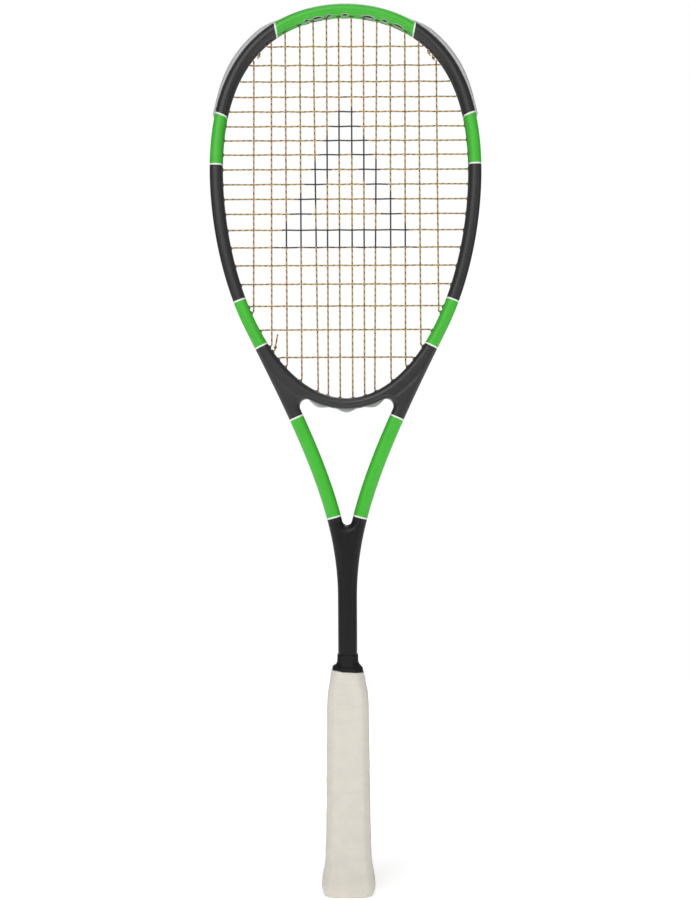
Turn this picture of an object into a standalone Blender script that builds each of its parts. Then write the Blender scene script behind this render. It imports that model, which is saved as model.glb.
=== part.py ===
"""Squash racket: a one-piece hollow graphite frame with its grommets, strings, handle, grip and collar.

Metres, +Z up. The racket stands on its butt with the head up. The middle of the butt's end is the origin,
the strings lie in the XZ plane and the front faces -Y. Outlines are drawn in (x, z) and handle sections in
(x, y).
"""

import math
from collections import namedtuple
from itertools import pairwise

import bmesh
import bpy
from mathutils import Matrix, Vector

MM = 0.001
GAP = 0.3 * MM  # room between neighbouring solids

# Lengths along the racket, from the butt up: together they make the racket's full length.
GRIP_LENGTH = 171.6 * MM
SHAFT_LENGTH = 56.4 * MM
THROAT_LENGTH = 145.6 * MM
BRIDGE_WIDTH = 8.4 * MM
OPENING_LENGTH = 294.5 * MM
CROWN_WIDTH = 8.4 * MM
BUMPER_AT_CROWN = 1.1 * MM

# The frame.
OPENING_HALF_WIDTH = 94.9 * MM
OPENING_FULLNESS = (0.984, 0.158, 0.110, 0.049)  # terms in the height's powers: the head is fuller above
RIM_WIDTH = 9.6 * MM
SHOULDER_ANGLE = math.radians(-38)  # where the throat arm leaves the hoop
ARM_WIDTH = 10.9 * MM
ARM_UPPER_PULL = 0.48  # the arm's two curve handles, as shares of the straight way along it
ARM_LOWER_PULL = 0.275
FILLET_RADIUS = 5.4 * MM
NOTCH_RADIUS = 3.8 * MM
SHAFT_HALF_WIDTH = 7.3 * MM
SHAFT_BOTTOM = 6 * MM
BEAM = 20 * MM
HEAD_EDGE_RADIUS = 3.2 * MM
SHAFT_EDGE_RADIUS = 6 * MM
WALL = 1.3 * MM
GROOVE_DEPTH = 2.6 * MM
GROOVE_WIDTH = 6.4 * MM

# Strings and their holes.
STRING_DIAMETER = 1.2 * MM
MAIN_SHARES = (5, 9.5, 10.5, 10.5, 11.5, 12, 14, 21.9)  # from the centre line out to the rim
CROSS_SHARES = (21, 14, 14.5, 12, 11.5, 11.5, 11, 11, 11.5, 11.5, 11.5, 11.5, 12.5, 13.5, 14, 14.5, 17, 18.5,
                21.5, 30.5)  # from the crown down to the bridge
HOLE_RADIUS = 1.8 * MM
HOLE_PITCH = 4.3 * MM  # no two holes are drilled closer than this
HOLE_SIDES = 6
BARREL_RADIUS = HOLE_RADIUS - GAP / math.cos(math.pi / HOLE_SIDES)
BARREL_BORE = 1.1 * MM
BARREL_LIP = 1.0 * MM  # how far a barrel stands out inside the hoop
STRIP_THICKNESS = 0.9 * MM
STRIP_END = 6 * MM  # strip past its last barrel
LANE = 1.5 * MM  # how far a string steps aside to pass another string's hole
LANE_SHARE = 0.35  # the share of the way to that hole where the string is aside already
NEAR_RIM = 4 * MM  # a crossing this close to the rim needs the string off the other one early
NEAR_MAIN = 6 * MM  # and so do two mains this close together
CHANNEL_HALF = 2.35 * MM  # half the width of the string channel in the guard and the throat strip
BRIDGE_MAINS = 3  # main strings on each side whose lower ends pass through the bridge
BUMPER_CROSSES = 5  # crosses whose ends the bumper guard holds
BUMPER_HALF_DEPTH = 7.6 * MM
BUMPER_CORNER_RISE = 3.3 * MM  # how proud the guard stands at the corners of the head
BUMPER_THIN_ANGLE = math.radians(69)  # thin above this angle
BUMPER_THICK_ANGLE = math.radians(59)  # at its thickest below this one
THROAT_LUMP_RISE = 2.4 * MM  # how far the throat strip's guides stand below the bridge
BEND_CLEARANCE = 0.8 * MM  # from a barrel's tip to the string's bend
KNOT_WIDTH = 2.6 * MM
KNOT_LENGTH = 3 * MM
KNOT_STEP = 0.3 * MM
KNOT_START = 1.5 * MM
CORNER_TAIL = 6 * MM
CORNER_TAIL_LEAN = 0.45  # how much the short ends lean out of the bed
LONG_TAIL = (2.3 * MM, -3.2 * MM, 12 * MM)  # the loose end at the lower left: right, forward and up

# The handle.
GRIP_HALF_WIDTH = 16.5 * MM
GRIP_HALF_DEPTH = 14.5 * MM
GRIP_CORNER = 5.2 * MM
GRIP_THICKNESS = 1.8 * MM
# The grip's flare and neck: height above the butt, or depth below the grip's top, and what its half width and
# half depth have more there than in the middle.
BUTT_STATIONS = [(h * MM, x * MM, y * MM) for h, x, y in (
    (0.7, 1.5, 1.2), (2.7, 2.7, 2.3), (6, 3.9, 3.3), (11, 4.2, 3.6), (21, 1.9, 1.6), (30, 1.2, 0.9),
    (58, 0.4, 0.3))]
NECK_STATIONS = [(d * MM, x * MM, y * MM) for d, x, y in (
    (22, -0.4, -0.2), (13.5, -1.5, -0.5), (0.6, -4.2, -1.1))]
BOUND_END_HEIGHT = 2.8 * MM  # the grip's end that the tape binds, above the visible grip
BOUND_END_THICKNESS = 1.2 * MM
NECK_WALL = 0.9 * MM
NECK_CORNER = 3.4 * MM
TAPE_THICKNESS = 0.5 * MM
TAPE_HEIGHT = 2.2 * MM
CAP_HEIGHT = 24 * MM
CAP_FLOOR = 3.4 * MM
CAP_SKIRT = 1.7 * MM
PLUG_HALF_WIDTH = 9 * MM
PLUG_HALF_DEPTH = 7 * MM
PLUG_CORNER = 3 * MM
PLUG_STEM_HALF = 4.5 * MM
PLUG_STEM_CORNER = 1.5 * MM
PLUG_HEAD = 1.5 * MM
PLUG_RECESS = 0.3 * MM
STAPLE_WIRE = 0.9 * MM
STAPLE_WIDTH = 9 * MM
STAPLE_LEG = 6 * MM
STAPLE_HEIGHT = 19 * MM
COLLAR_HEIGHT = 12.6 * MM
COLLAR_WALL = 0.8 * MM
COLLAR_FLARE = 2.6 * MM  # the height over which the skirt draws in to the sleeve
CORNER_GROWTH = 2 - math.sqrt(2)  # what a cut corner gains for each step that its section grows

# How finely curves are cut into facets, and the step over which their slope is taken.
SLOPE_STEP = 1e-3
HOOP_STEPS = 26
ARM_STEPS = 9
EDGE_STEPS = 2
LOOP_STEP = 6 * MM  # the longest straight stretch of a string along the rim
BUMPER_STEPS = 26
STRIP_STEPS = 20
THROAT_STRIP_STEPS = 14

# Heights worked out from the lengths.
SHAFT_TOP = GRIP_LENGTH + SHAFT_LENGTH
OPENING_BOTTOM = SHAFT_TOP + THROAT_LENGTH + BRIDGE_WIDTH
OPENING_CENTRE = OPENING_BOTTOM + OPENING_LENGTH / 2
STRING_SIDE = STRING_DIAMETER * math.sqrt(math.pi) / 2  # a square as large as the round string's section
WEAVE = STRING_SIDE + GAP + 0.1 * MM  # how far a cross string stands off each main string
STRIP_TOP = GAP + STRIP_THICKNESS - GROOVE_DEPTH  # below the rim's outer edge
LOOP_HEIGHT = STRIP_TOP + GAP + STRING_SIDE / 2
SHOULDER_STATION, CROWN_STATION, FULL_STATION = 1, 2, 4  # along the outer edge, right shaft to left shaft

Hole = namedtuple("Hole", "mouth direction length station slant")


# Outlines in (x, z).
def mirrored(point):
    return Vector((-point.x, point.y))


def outward(curve, at):
    """The unit normal on the right of the way that the curve runs."""
    along = curve(at + SLOPE_STEP) - curve(at - SLOPE_STEP)
    return Vector((along.y, -along.x)).normalized()


def opening_point(angle):
    """The string opening's edge: angle 0 is on the right and a quarter turn is the crown."""
    height = math.sin(angle)
    fullness = sum(term * height**power for power, term in enumerate(OPENING_FULLNESS))
    half_width = OPENING_HALF_WIDTH * fullness
    return Vector((half_width * math.cos(angle), OPENING_CENTRE + OPENING_LENGTH / 2 * height))


def hoop_edge(angle):
    width = RIM_WIDTH - (RIM_WIDTH - CROWN_WIDTH) * max(0, math.sin(angle)) ** 2
    return opening_point(angle) + outward(opening_point, angle) * width


def bridge_edge(angle):
    return opening_point(angle) + outward(opening_point, angle) * BRIDGE_WIDTH


def arm_edge(share):
    """The outer edge from the shaft's top, share 0, up the throat arm to the shoulder, share 1."""
    foot = Vector((SHAFT_HALF_WIDTH, SHAFT_TOP))
    shoulder = hoop_edge(SHOULDER_ANGLE)
    normal = outward(hoop_edge, SHOULDER_ANGLE)
    length = (shoulder - foot).length
    foot_handle = foot + Vector((0, ARM_LOWER_PULL * length))
    shoulder_handle = shoulder + Vector((normal.y, -normal.x)) * ARM_UPPER_PULL * length
    rest = 1 - share
    return (rest**3 * foot + 3 * rest**2 * share * foot_handle + 3 * rest * share**2 * shoulder_handle
            + share**3 * shoulder)


def outer_edge(station):
    """The outer edge: 0 the right shaft, 1 the right shoulder, 2 the crown, 3 and 4 the same on the left."""
    if station > CROWN_STATION:
        return mirrored(outer_edge(FULL_STATION - station))
    if station < SHOULDER_STATION:
        return arm_edge(station)
    return hoop_edge(SHOULDER_ANGLE + (math.pi / 2 - SHOULDER_ANGLE) * (station - SHOULDER_STATION))


def arm_inside(share, extra=0):
    return arm_edge(share) - outward(arm_edge, share) * (ARM_WIDTH + extra)


def solved(wanted, low, high):
    """Where wanted, negative at low and positive at high, passes zero."""
    for _ in range(50):
        middle = (low + high) / 2
        low, high = (middle, high) if wanted(middle) < 0 else (low, middle)
    return (low + high) / 2


def nearest_angle(point):
    """The angle of the place on the lower part of the string opening that is nearest to the point."""
    low, high = -math.pi / 2, SHOULDER_ANGLE
    for _ in range(60):
        first, second = low + (high - low) / 3, high - (high - low) / 3
        if (opening_point(first) - point).length < (opening_point(second) - point).length:
            high = second
        else:
            low = first
    return (low + high) / 2


def arc(centre, start, end, radius, steps):
    """Points from the start direction to the end direction, the short way round."""
    turn = start.angle_signed(end)
    return [centre + Matrix.Rotation(-turn * i / steps, 2) @ start * radius for i in range(steps + 1)]


def fillet_share():
    """Where along the arm the fillet between the arm and the bridge has its centre."""
    def crowding(share):
        centre = arm_inside(share, FILLET_RADIUS)
        return BRIDGE_WIDTH + FILLET_RADIUS - (opening_point(nearest_angle(centre)) - centre).length
    return solved(crowding, 0.3, 0.95)


def bridge_end():
    """The angle where the bridge ends and the fillet begins."""
    return nearest_angle(arm_inside(fillet_share(), FILLET_RADIUS))


def throat_loop():
    """The open triangle between the bridge and the arms, with the frame on its left."""
    corner = fillet_share()
    notch = solved(lambda share: arm_inside(share, NOTCH_RADIUS).x, 0.02, 0.8)
    fillet_centre = arm_inside(corner, FILLET_RADIUS)
    notch_centre = arm_inside(notch, NOTCH_RADIUS)
    last_angle = bridge_end()
    bridge = [bridge_edge(-math.pi / 2 + (last_angle + math.pi / 2) * i / 4) for i in range(4)]
    up = (bridge_edge(last_angle) - fillet_centre).normalized()
    fillet = arc(fillet_centre, up, outward(arm_edge, corner), FILLET_RADIUS, 4)
    arm = [arm_inside(corner + (notch - corner) * i / 4) for i in range(1, 4)]
    foot = arc(notch_centre, outward(arm_edge, notch), Vector((0, -1)), NOTCH_RADIUS, 3)
    right = bridge + fillet + arm + foot
    return right + [mirrored(point) for point in right[-2:0:-1]]


def opening_loop():
    steps = 2 * HOOP_STEPS
    return [opening_point(-math.tau * i / steps) for i in range(steps)]


def frame_loop(bottom):
    arm = [i / ARM_STEPS for i in range(ARM_STEPS)]
    hoop = [SHOULDER_STATION + i / HOOP_STEPS for i in range(HOOP_STEPS)]
    stations = arm + hoop + [CROWN_STATION] + [FULL_STATION - station for station in reversed(arm + hoop)]
    edge = [outer_edge(station) for station in stations]
    return [Vector((SHAFT_HALF_WIDTH, bottom))] + edge + [Vector((-SHAFT_HALF_WIDTH, bottom))]


def inset(loop, distances):
    """The closed outline moved to its left, each point by its own distance."""
    moved = []
    for i, point in enumerate(loop):
        before = (point - loop[i - 1]).normalized()
        after = (loop[(i + 1) % len(loop)] - point).normalized()
        left = Vector((-before.y - after.y, before.x + after.x)) / (1 + before.dot(after))
        moved.append(point + left * distances[i])
    return moved


def blend(value, start, end):
    """0 at the start and before, 1 at the end and past it, smooth between."""
    share = min(max((value - start) / (end - start), 0), 1)
    return share * share * (3 - 2 * share)


def in_shaft(point):
    """0 in the head, 1 in the shaft."""
    return blend(point.y, OPENING_BOTTOM - 3 * BRIDGE_WIDTH, SHAFT_TOP)


# Solids.
def material(name, colour, roughness, metallic=0.0):
    made = bpy.data.materials.new(name)
    made.use_nodes = True
    shader = made.node_tree.nodes["Principled BSDF"]
    shader.inputs["Base Color"].default_value = (*colour, 1)
    shader.inputs["Roughness"].default_value = roughness
    shader.inputs["Metallic"].default_value = metallic
    return made


def solid(name, mesh, finish=None):
    """An object of this mesh, faces out, or a cutter if it has no finish."""
    bmesh.ops.recalc_face_normals(mesh, faces=mesh.faces)
    data = bpy.data.meshes.new(name)
    mesh.to_mesh(data)
    mesh.free()
    obj = bpy.data.objects.new(name, data)
    bpy.context.collection.objects.link(obj)
    if finish:
        data.materials.append(finish)
        data.shade_smooth()
        data.set_sharp_from_angle(angle=math.radians(40))
    else:
        obj.hide_render = True
        obj.display_type = "WIRE"
    return obj


def combine(obj, other, operation):
    modifier = obj.modifiers.new(f"{operation.lower()} {other.name}", "BOOLEAN")
    modifier.operation = operation
    modifier.object = other


def skin(mesh, rings, closed=False):
    """Faces between rings of points, with end caps unless the last ring meets the first."""
    made = [[mesh.verts.new(point) for point in ring] for ring in rings]
    for near, far in pairwise(made + made[:1] if closed else made):
        for i in range(len(near)):
            mesh.faces.new((near[i - 1], near[i], far[i], far[i - 1]))
    if not closed:
        mesh.faces.new(made[0])
        mesh.faces.new(made[-1])
    return made


def slab(name, loops, half_depth, edge_radius, edge_steps, finish=None):
    """A plate across y, bounded by outlines with the material on their left and with rounded edges."""
    mesh = bmesh.new()
    turns = [math.pi / 2 * (1 - i / edge_steps) for i in range(edge_steps + 1)] if edge_steps else [0]
    for loop in loops:
        radii = [edge_radius(point) for point in loop]
        rings = []
        for side, order in ((-1, turns), (1, turns[::-1])):
            for turn in order:
                points = inset(loop, [radius * (1 - math.cos(turn)) for radius in radii])
                rings.append([(point.x, side * (half_depth - radius * (1 - math.sin(turn))), point.y)
                              for point, radius in zip(points, radii)])
        made = [[mesh.verts.new(point) for point in ring] for ring in rings]
        for near, far in pairwise(made):
            for i in range(len(near)):
                mesh.faces.new((near[i - 1], near[i], far[i], far[i - 1]))
    for side in (-1, 1):
        rim = [edge for edge in mesh.edges if all(vert.co.y * side > half_depth - 1e-6 for vert in edge.verts)
               and edge.is_boundary]
        bmesh.ops.triangle_fill(mesh, use_beauty=True, edges=rim)
    return solid(name, mesh, finish)


def band(name, stations, section, finish=None):
    """A strip that follows the rim: section(station) gives its (outward, y) corners."""
    mesh = bmesh.new()
    rings = []
    for edge, station in stations:
        point, normal = edge(station), outward(edge, station)
        rings.append([(point.x + normal.x * out, y, point.y + normal.y * out) for out, y in section(station)])
    skin(mesh, rings)
    return solid(name, mesh, finish)


def rods(name, runs, radius):
    """Straight many-sided rods, one for each (start, end) pair in (x, z)."""
    mesh = bmesh.new()
    for start, end in runs:
        along = Vector((end.x - start.x, 0, end.y - start.y))
        middle = Vector(((start.x + end.x) / 2, 0, (start.y + end.y) / 2))
        place = Matrix.Translation(middle) @ along.to_track_quat("Z", "Y").to_matrix().to_4x4()
        bmesh.ops.create_cone(mesh, cap_ends=True, segments=HOLE_SIDES, radius1=radius, radius2=radius,
                              depth=along.length, matrix=place)
    return solid(name, mesh)


def section_points(section):
    """The corners in (x, y) of an eight-sided section: a rectangle with its corners cut."""
    half_x, half_y, corner = section
    quarter = [(half_x, half_y - corner), (half_x - corner, half_y)]
    half = quarter + [(-x, y) for x, y in reversed(quarter)]
    return half + [(-x, -y) for x, y in half]


def grown(section, distance):
    """The section with every side moved out by this distance."""
    half_x, half_y, corner = section
    return half_x + distance, half_y + distance, corner + CORNER_GROWTH * distance


def stacked(name, stations, finish, hollow=True):
    """A body of (height, section) stations: a hollow one runs up its outside and back down its inside."""
    mesh = bmesh.new()
    rings = [[(x, y, height) for x, y in section_points(section)] for height, section in stations]
    skin(mesh, rings, closed=hollow)
    return solid(name, mesh, finish)


def blocks(name, spans):
    """A cutter of separate boxes, one for each (low, high) pair of corners."""
    mesh = bmesh.new()
    for low, high in spans:
        low, high = Vector(low), Vector(high)
        size = Matrix.Diagonal((*(high - low), 1))
        bmesh.ops.create_cube(mesh, size=1, matrix=Matrix.Translation((low + high) / 2) @ size)
    return solid(name, mesh)


def thread(name, path, finish):
    """A square string along (point, width) stations, with mitred corners."""
    mesh = bmesh.new()
    points = [Vector(point) for point, _ in path]
    ways = [(far - near).normalized() for near, far in pairwise(points)]
    rings = []
    for i, (_, width) in enumerate(path):
        before, after = ways[max(i - 1, 0)], ways[min(i, len(ways) - 1)]
        plane = before + after
        across = (Vector((0, 1, 0)) - before * before.y).normalized()
        other = before.cross(across)
        ring = []
        for first, second in ((1, 1), (-1, 1), (-1, -1), (1, -1)):
            offset = (across * first + other * second) * width / 2
            ring.append(points[i] + offset - before * offset.dot(plane) / before.dot(plane))
        rings.append(ring)
    skin(mesh, rings)
    return solid(name, mesh, finish)


# The string pattern.
def arc_table():
    """(length along the string opening from the bridge's middle up the right side, angle) pairs."""
    steps = 720
    table, length = [], 0
    for i in range(steps + 1):
        angle = -math.pi / 2 + math.pi * i / steps
        if i:
            length += (opening_point(angle) - opening_point(angle - math.pi / steps)).length
        table.append((length, angle))
    return table


def looked_up(table, value, column):
    """The other column's value where this column has the value, between the rows of a rising table."""
    for low, high in pairwise(table):
        if value <= high[column]:
            share = (value - low[column]) / (high[column] - low[column])
            return low[1 - column] + share * (high[1 - column] - low[1 - column])
    return table[-1][1 - column]


def widest_angle():
    angles = [-math.pi / 2 + math.pi * i / 720 for i in range(721)]
    return max(angles, key=lambda angle: opening_point(angle).x)


def spread(places):
    """The same places in order along the rim, moved apart wherever holes would come too close."""
    names = sorted(places, key=places.get)
    for _ in range(200):
        for first, second in pairwise(names):
            short = HOLE_PITCH - (places[second] - places[first])
            if short > 0:
                places[first] -= short / 2
                places[second] += short / 2
    return places


def string_places():
    """Where each string meets the rim on the right side, as lengths along the string opening."""
    table = arc_table()
    widest = widest_angle()
    mains, crosses = len(MAIN_SHARES) - 1, len(CROSS_SHARES) - 1
    bridge_length = looked_up(table, bridge_end(), 1)
    places = {}
    for i in range(mains):
        x = OPENING_HALF_WIDTH * sum(MAIN_SHARES[: i + 1]) / sum(MAIN_SHARES)
        top = solved(lambda angle: x - opening_point(angle).x, widest, math.pi / 2)
        bottom = solved(lambda angle: opening_point(angle).x - x, -math.pi / 2, widest)
        places["main top", i] = looked_up(table, top, 1)
        place = looked_up(table, bottom, 1)
        if i < BRIDGE_MAINS:
            places["main bottom", i] = min(place, bridge_length - HOLE_RADIUS - GAP)
        else:
            places["main bottom", i] = max(place, bridge_length + FILLET_RADIUS + WALL + HOLE_RADIUS)
    for i in range(crosses):
        drop = sum(CROSS_SHARES[: i + 1]) / sum(CROSS_SHARES)
        places["cross", i] = looked_up(table, math.asin(1 - 2 * drop), 1)
    return spread(places)


def edge_hit(start, direction):
    """(distance, station) of the first place where a line from inside meets the right outer edge."""
    steps = 500
    hits = []
    for i in range(steps):
        first, last = (CROWN_STATION * (i + j) / steps for j in (0, 1))
        a, b = outer_edge(first), outer_edge(last)
        along = b - a
        cross = direction.x * along.y - direction.y * along.x
        if abs(cross) < 1e-12:
            continue
        gap = a - start
        distance = (gap.x * along.y - gap.y * along.x) / cross
        share = (gap.x * direction.y - gap.y * direction.x) / cross
        if distance > 0 and 0 <= share <= 1:
            hits.append((distance, first + (last - first) * share))
    return min(hits)


def drilled(place, table, bridge=False):
    """The hole at this length along the string opening, square to it."""
    angle = looked_up(table, place, 0)
    mouth, direction = opening_point(angle), outward(opening_point, angle)
    if bridge:
        return Hole(mouth, direction, BRIDGE_WIDTH, angle, 1)
    length, station = edge_hit(mouth, direction)
    return Hole(mouth, direction, length, station, 1 / direction.dot(outward(outer_edge, station)))


def mirrored_hole(hole, bridge=False):
    station = -math.pi - hole.station if bridge else FULL_STATION - hole.station
    return hole._replace(mouth=mirrored(hole.mouth), direction=mirrored(hole.direction), station=station)


def in_bridge(key):
    return key[0] == "main bottom" and key[1] < BRIDGE_MAINS


def drilled_holes():
    """Every hole by (kind, number, side): side is 1 on the right and -1 on the left, mains count outwards and
    crosses count down. The last four are where the strings are tied off."""
    table = arc_table()
    places = string_places()
    holes = {}
    for key, place in places.items():
        hole = drilled(place, table, in_bridge(key))
        holes[*key, 1] = hole
        holes[*key, -1] = mirrored_hole(hole, in_bridge(key))
    outer_main = len(MAIN_SHARES) - 2
    low, high = places["main top", outer_main], places["cross", 0]
    holes["main end", 0, 1] = drilled(low + (high - low) / 3, table)
    holes["cross start", 0, 1] = drilled(high - (high - low) / 3, table)
    holes["main start", 0, -1] = mirrored_hole(drilled((low + high) / 2, table))
    end = drilled(places["main bottom", outer_main - 1] - HOLE_PITCH, table)
    holes["cross end", 0, -1] = mirrored_hole(end)
    return holes


def inner_bend(hole):
    """Where the string turns as it leaves the barrel's tip."""
    return hole.mouth - hole.direction * (BARREL_LIP + BEND_CLEARANCE)


def space(point, y=0.0):
    return Vector((point.x, y, point.y))


def below_edge(hole, depth):
    """The point in the hole's axis at this depth under the rim's outer edge."""
    return hole.mouth + hole.direction * (hole.length - depth * hole.slant)


def outer_bend(hole):
    return space(below_edge(hole, -LOOP_HEIGHT))


def outside_run(holes, first, second, lane):
    """The string's way along the outside of the rim between two holes. It steps aside to pass others."""
    edge = bridge_edge if in_bridge(first) else outer_edge
    start, end = holes[first].station, holes[second].station
    passed = sorted((hole.station for key, hole in holes.items() if in_bridge(key) == in_bridge(first)
                     and min(start, end) < hole.station < max(start, end)), reverse=end < start)
    if passed:
        near, far = 1 - LANE_SHARE, LANE_SHARE
        stations = [start * far + passed[0] * near, end * far + passed[-1] * near]
    else:
        steps = math.ceil((edge(end) - edge(start)).length / LOOP_STEP)
        stations = [start + (end - start) * i / steps for i in range(1, steps)]
    aside = lane if passed else 0
    way = [space(edge(station) + outward(edge, station) * LOOP_HEIGHT, aside) for station in stations]
    return [outer_bend(holes[first]), *way, outer_bend(holes[second])]


def knot(hole, way):
    """The (point, width) stations of a string's end inside the rim: a knot, then the loose end along way."""
    start, way = space(inner_bend(hole)), Vector(way)
    length, way = way.length, way.normalized()
    stops = ((0, STRING_SIDE), (KNOT_START, STRING_SIDE), (KNOT_START + KNOT_STEP, KNOT_WIDTH),
             (KNOT_START + KNOT_LENGTH, KNOT_WIDTH), (KNOT_START + KNOT_LENGTH + KNOT_STEP, STRING_SIDE),
             (length, STRING_SIDE))
    return [(start + way * distance, width) for distance, width in stops]


def corner_knot(hole):
    """A short knotted end that stands out in front of the bed at the head's upper corner."""
    way = space(-hole.direction, -CORNER_TAIL_LEAN).normalized() * CORNER_TAIL
    return knot(hole, way)


def plain(points):
    return [(point, STRING_SIDE) for point in points]


def main_keys():
    """The mains from left to right as (number, side)."""
    numbers = range(len(MAIN_SHARES) - 1)
    return [(number, -1) for number in reversed(numbers)] + [(number, 1) for number in numbers]


def main_string_path(holes):
    """From the tie at the upper left, down and up through every main, to the tie at the upper right."""
    path = list(reversed(corner_knot(holes["main start", 0, -1])))
    last = ("main start", 0, -1)
    for i, (number, side) in enumerate(main_keys()):
        ends = [("main top", number, side), ("main bottom", number, side)]
        first, second = ends if i % 2 == 0 else reversed(ends)
        path += plain(outside_run(holes, last, first, -LANE))
        path += plain([space(inner_bend(holes[first])), space(inner_bend(holes[second]))])
        last = second
    path += plain(outside_run(holes, last, ("main end", 0, 1), -LANE))
    return path + corner_knot(holes["main end", 0, 1])


def crossing(first, second):
    """Where two straight runs in (x, z) meet, or None."""
    (a, b), (c, d) = first, second
    one, two, gap = b - a, d - c, c - a
    cross = one.x * two.y - one.y * two.x
    along_one = (gap.x * two.y - gap.y * two.x) / cross
    along_two = (gap.x * one.y - gap.y * one.x) / cross
    return a + one * along_one if 0 < along_one < 1 and 0 < along_two < 1 else None


def level_end(meeting, stop, height, nearest):
    """Where the level stretch over a main ends towards a near stop. With room to slope, there is none."""
    way = stop - meeting
    return [space(meeting + way.normalized() * STRING_SIDE, height)] if way.length < nearest else []


def woven_run(holes, number, from_side):
    """One cross from rim to rim, over and under the mains by turns."""
    run = [inner_bend(holes["cross", number, side]) for side in (from_side, -from_side)]
    mains = list(enumerate(main_keys()))
    meetings = []
    for i, (main, side) in mains if from_side == -1 else reversed(mains):
        ends = [inner_bend(holes[kind, main, side]) for kind in ("main top", "main bottom")]
        meeting = crossing(run, ends)
        if meeting:
            meetings.append((meeting, WEAVE if (i + number) % 2 else -WEAVE))
    stops = [run[0], *(meeting for meeting, _ in meetings), run[1]]
    limits = [NEAR_RIM, *([NEAR_MAIN] * (len(meetings) - 1)), NEAR_RIM]
    way = [space(run[0])]
    for i, (meeting, height) in enumerate(meetings):
        way += level_end(meeting, stops[i], height, limits[i])
        way.append(space(meeting, height))
        way += level_end(meeting, stops[i + 2], height, limits[i + 1])
    return way + [space(run[1])]


def cross_string_path(holes):
    """From the tie at the upper right, to and fro down the bed, to the tie at the lower left."""
    path = list(reversed(corner_knot(holes["cross start", 0, 1])))
    last = ("cross start", 0, 1)
    for number in range(len(CROSS_SHARES) - 1):
        side = 1 if number % 2 == 0 else -1
        path += plain(outside_run(holes, last, ("cross", number, side), LANE))
        path += plain(woven_run(holes, number, side))
        last = ("cross", number, -side)
    path += plain(outside_run(holes, last, ("cross end", 0, -1), LANE))
    return path + knot(holes["cross end", 0, -1], LONG_TAIL)


# The frame and what lines its holes.
def stations_between(edge, start, end, steps):
    return [(edge, start + (end - start) * i / steps) for i in range(steps + 1)]


def moved_along(edge, station, distance):
    """The station this far past another one along an edge."""
    reach = 5 * SLOPE_STEP
    return station + distance * 2 * reach / (edge(station + reach) - edge(station - reach)).length


def groups(holes):
    """The holes that each strip lines: the bumper guard's, the two sides' and the throat's."""
    def stands(key, side):
        return key[2] == side and not in_bumper(key) and not in_bridge(key)
    def in_bumper(key):
        return key[0] in ("main top", "main start", "main end", "cross start") or (
            key[0] == "cross" and key[1] < BUMPER_CROSSES)
    return {
        "bumper": [holes[key] for key in holes if in_bumper(key)],
        "right": [holes[key] for key in holes if stands(key, 1)],
        "left": [holes[key] for key in holes if stands(key, -1)],
        "throat": [holes[key] for key in holes if in_bridge(key)],
    }


def bumper_end(holes):
    """The station on the right side where the bumper guard ends and the side strip begins."""
    return (holes["cross", BUMPER_CROSSES - 1, 1].station + holes["cross", BUMPER_CROSSES, 1].station) / 2


def side_strip_end(holes):
    """The station where the right side strip ends, on the throat arm."""
    lowest = holes["main bottom", BRIDGE_MAINS, 1].station
    return moved_along(outer_edge, lowest, -STRIP_END)


def throat_strip_end(holes):
    return moved_along(bridge_edge, holes["main bottom", BRIDGE_MAINS - 1, 1].station, STRIP_END / 2)


def groove_section(_station):
    half = GROOVE_WIDTH / 2
    return [(-GROOVE_DEPTH, -half), (-GROOVE_DEPTH, half), (RIM_WIDTH / 3, half), (RIM_WIDTH / 3, -half)]


def strip_section(_station):
    half = GROOVE_WIDTH / 2 - GAP
    return [(GAP - GROOVE_DEPTH, -half), (GAP - GROOVE_DEPTH, half), (STRIP_TOP, half), (STRIP_TOP, -half)]


def both_sides(corners):
    """The section's corners for y above 0, and the same below it."""
    return corners + [(out, -y) for out, y in reversed(corners)]


def bumper_section(station):
    """A thin guard over the crown that swells over the head's corners and thins again to its ends."""
    right = min(station, FULL_STATION - station)
    angle = SHOULDER_ANGLE + (math.pi / 2 - SHOULDER_ANGLE) * (right - SHOULDER_STATION)
    swell = 1 - blend(angle, BUMPER_THICK_ANGLE, BUMPER_THIN_ANGLE)
    swell *= 0.35 + 0.65 * blend(angle, BUMPER_THICK_ANGLE / 2, BUMPER_THICK_ANGLE * 0.8)
    rise = BUMPER_AT_CROWN + (BUMPER_CORNER_RISE - BUMPER_AT_CROWN) * swell
    half = GROOVE_WIDTH / 2 - GAP
    return both_sides([
        (GAP - GROOVE_DEPTH, half), (GAP, half), (GAP, BUMPER_HALF_DEPTH), (rise * 0.6, BUMPER_HALF_DEPTH),
        (rise, BUMPER_HALF_DEPTH - rise), (rise, CHANNEL_HALF), (STRIP_TOP, CHANNEL_HALF)])


def throat_section(holes):
    """The throat strip's channel, whose walls stand up in a lump beside each run of string."""
    def across(number, side):
        return holes["main bottom", number, side].mouth.x
    middles = [0.0] + [(across(number, side) + across(number + 1, side)) / 2
                       for number in range(1, BRIDGE_MAINS, 2) for side in (1, -1)]
    reach = (across(1, 1) - across(0, 1)) * 0.9
    half = GROOVE_WIDTH / 2 - GAP
    def section(angle):
        near = min(abs(opening_point(angle).x - middle) for middle in middles)
        rise = (THROAT_LUMP_RISE + GAP) * (1 - blend(near, 0, reach)) - GAP
        return both_sides([
            (GAP - GROOVE_DEPTH, half), (rise, half), (rise, CHANNEL_HALF), (STRIP_TOP, CHANNEL_HALF)])
    return section


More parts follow.
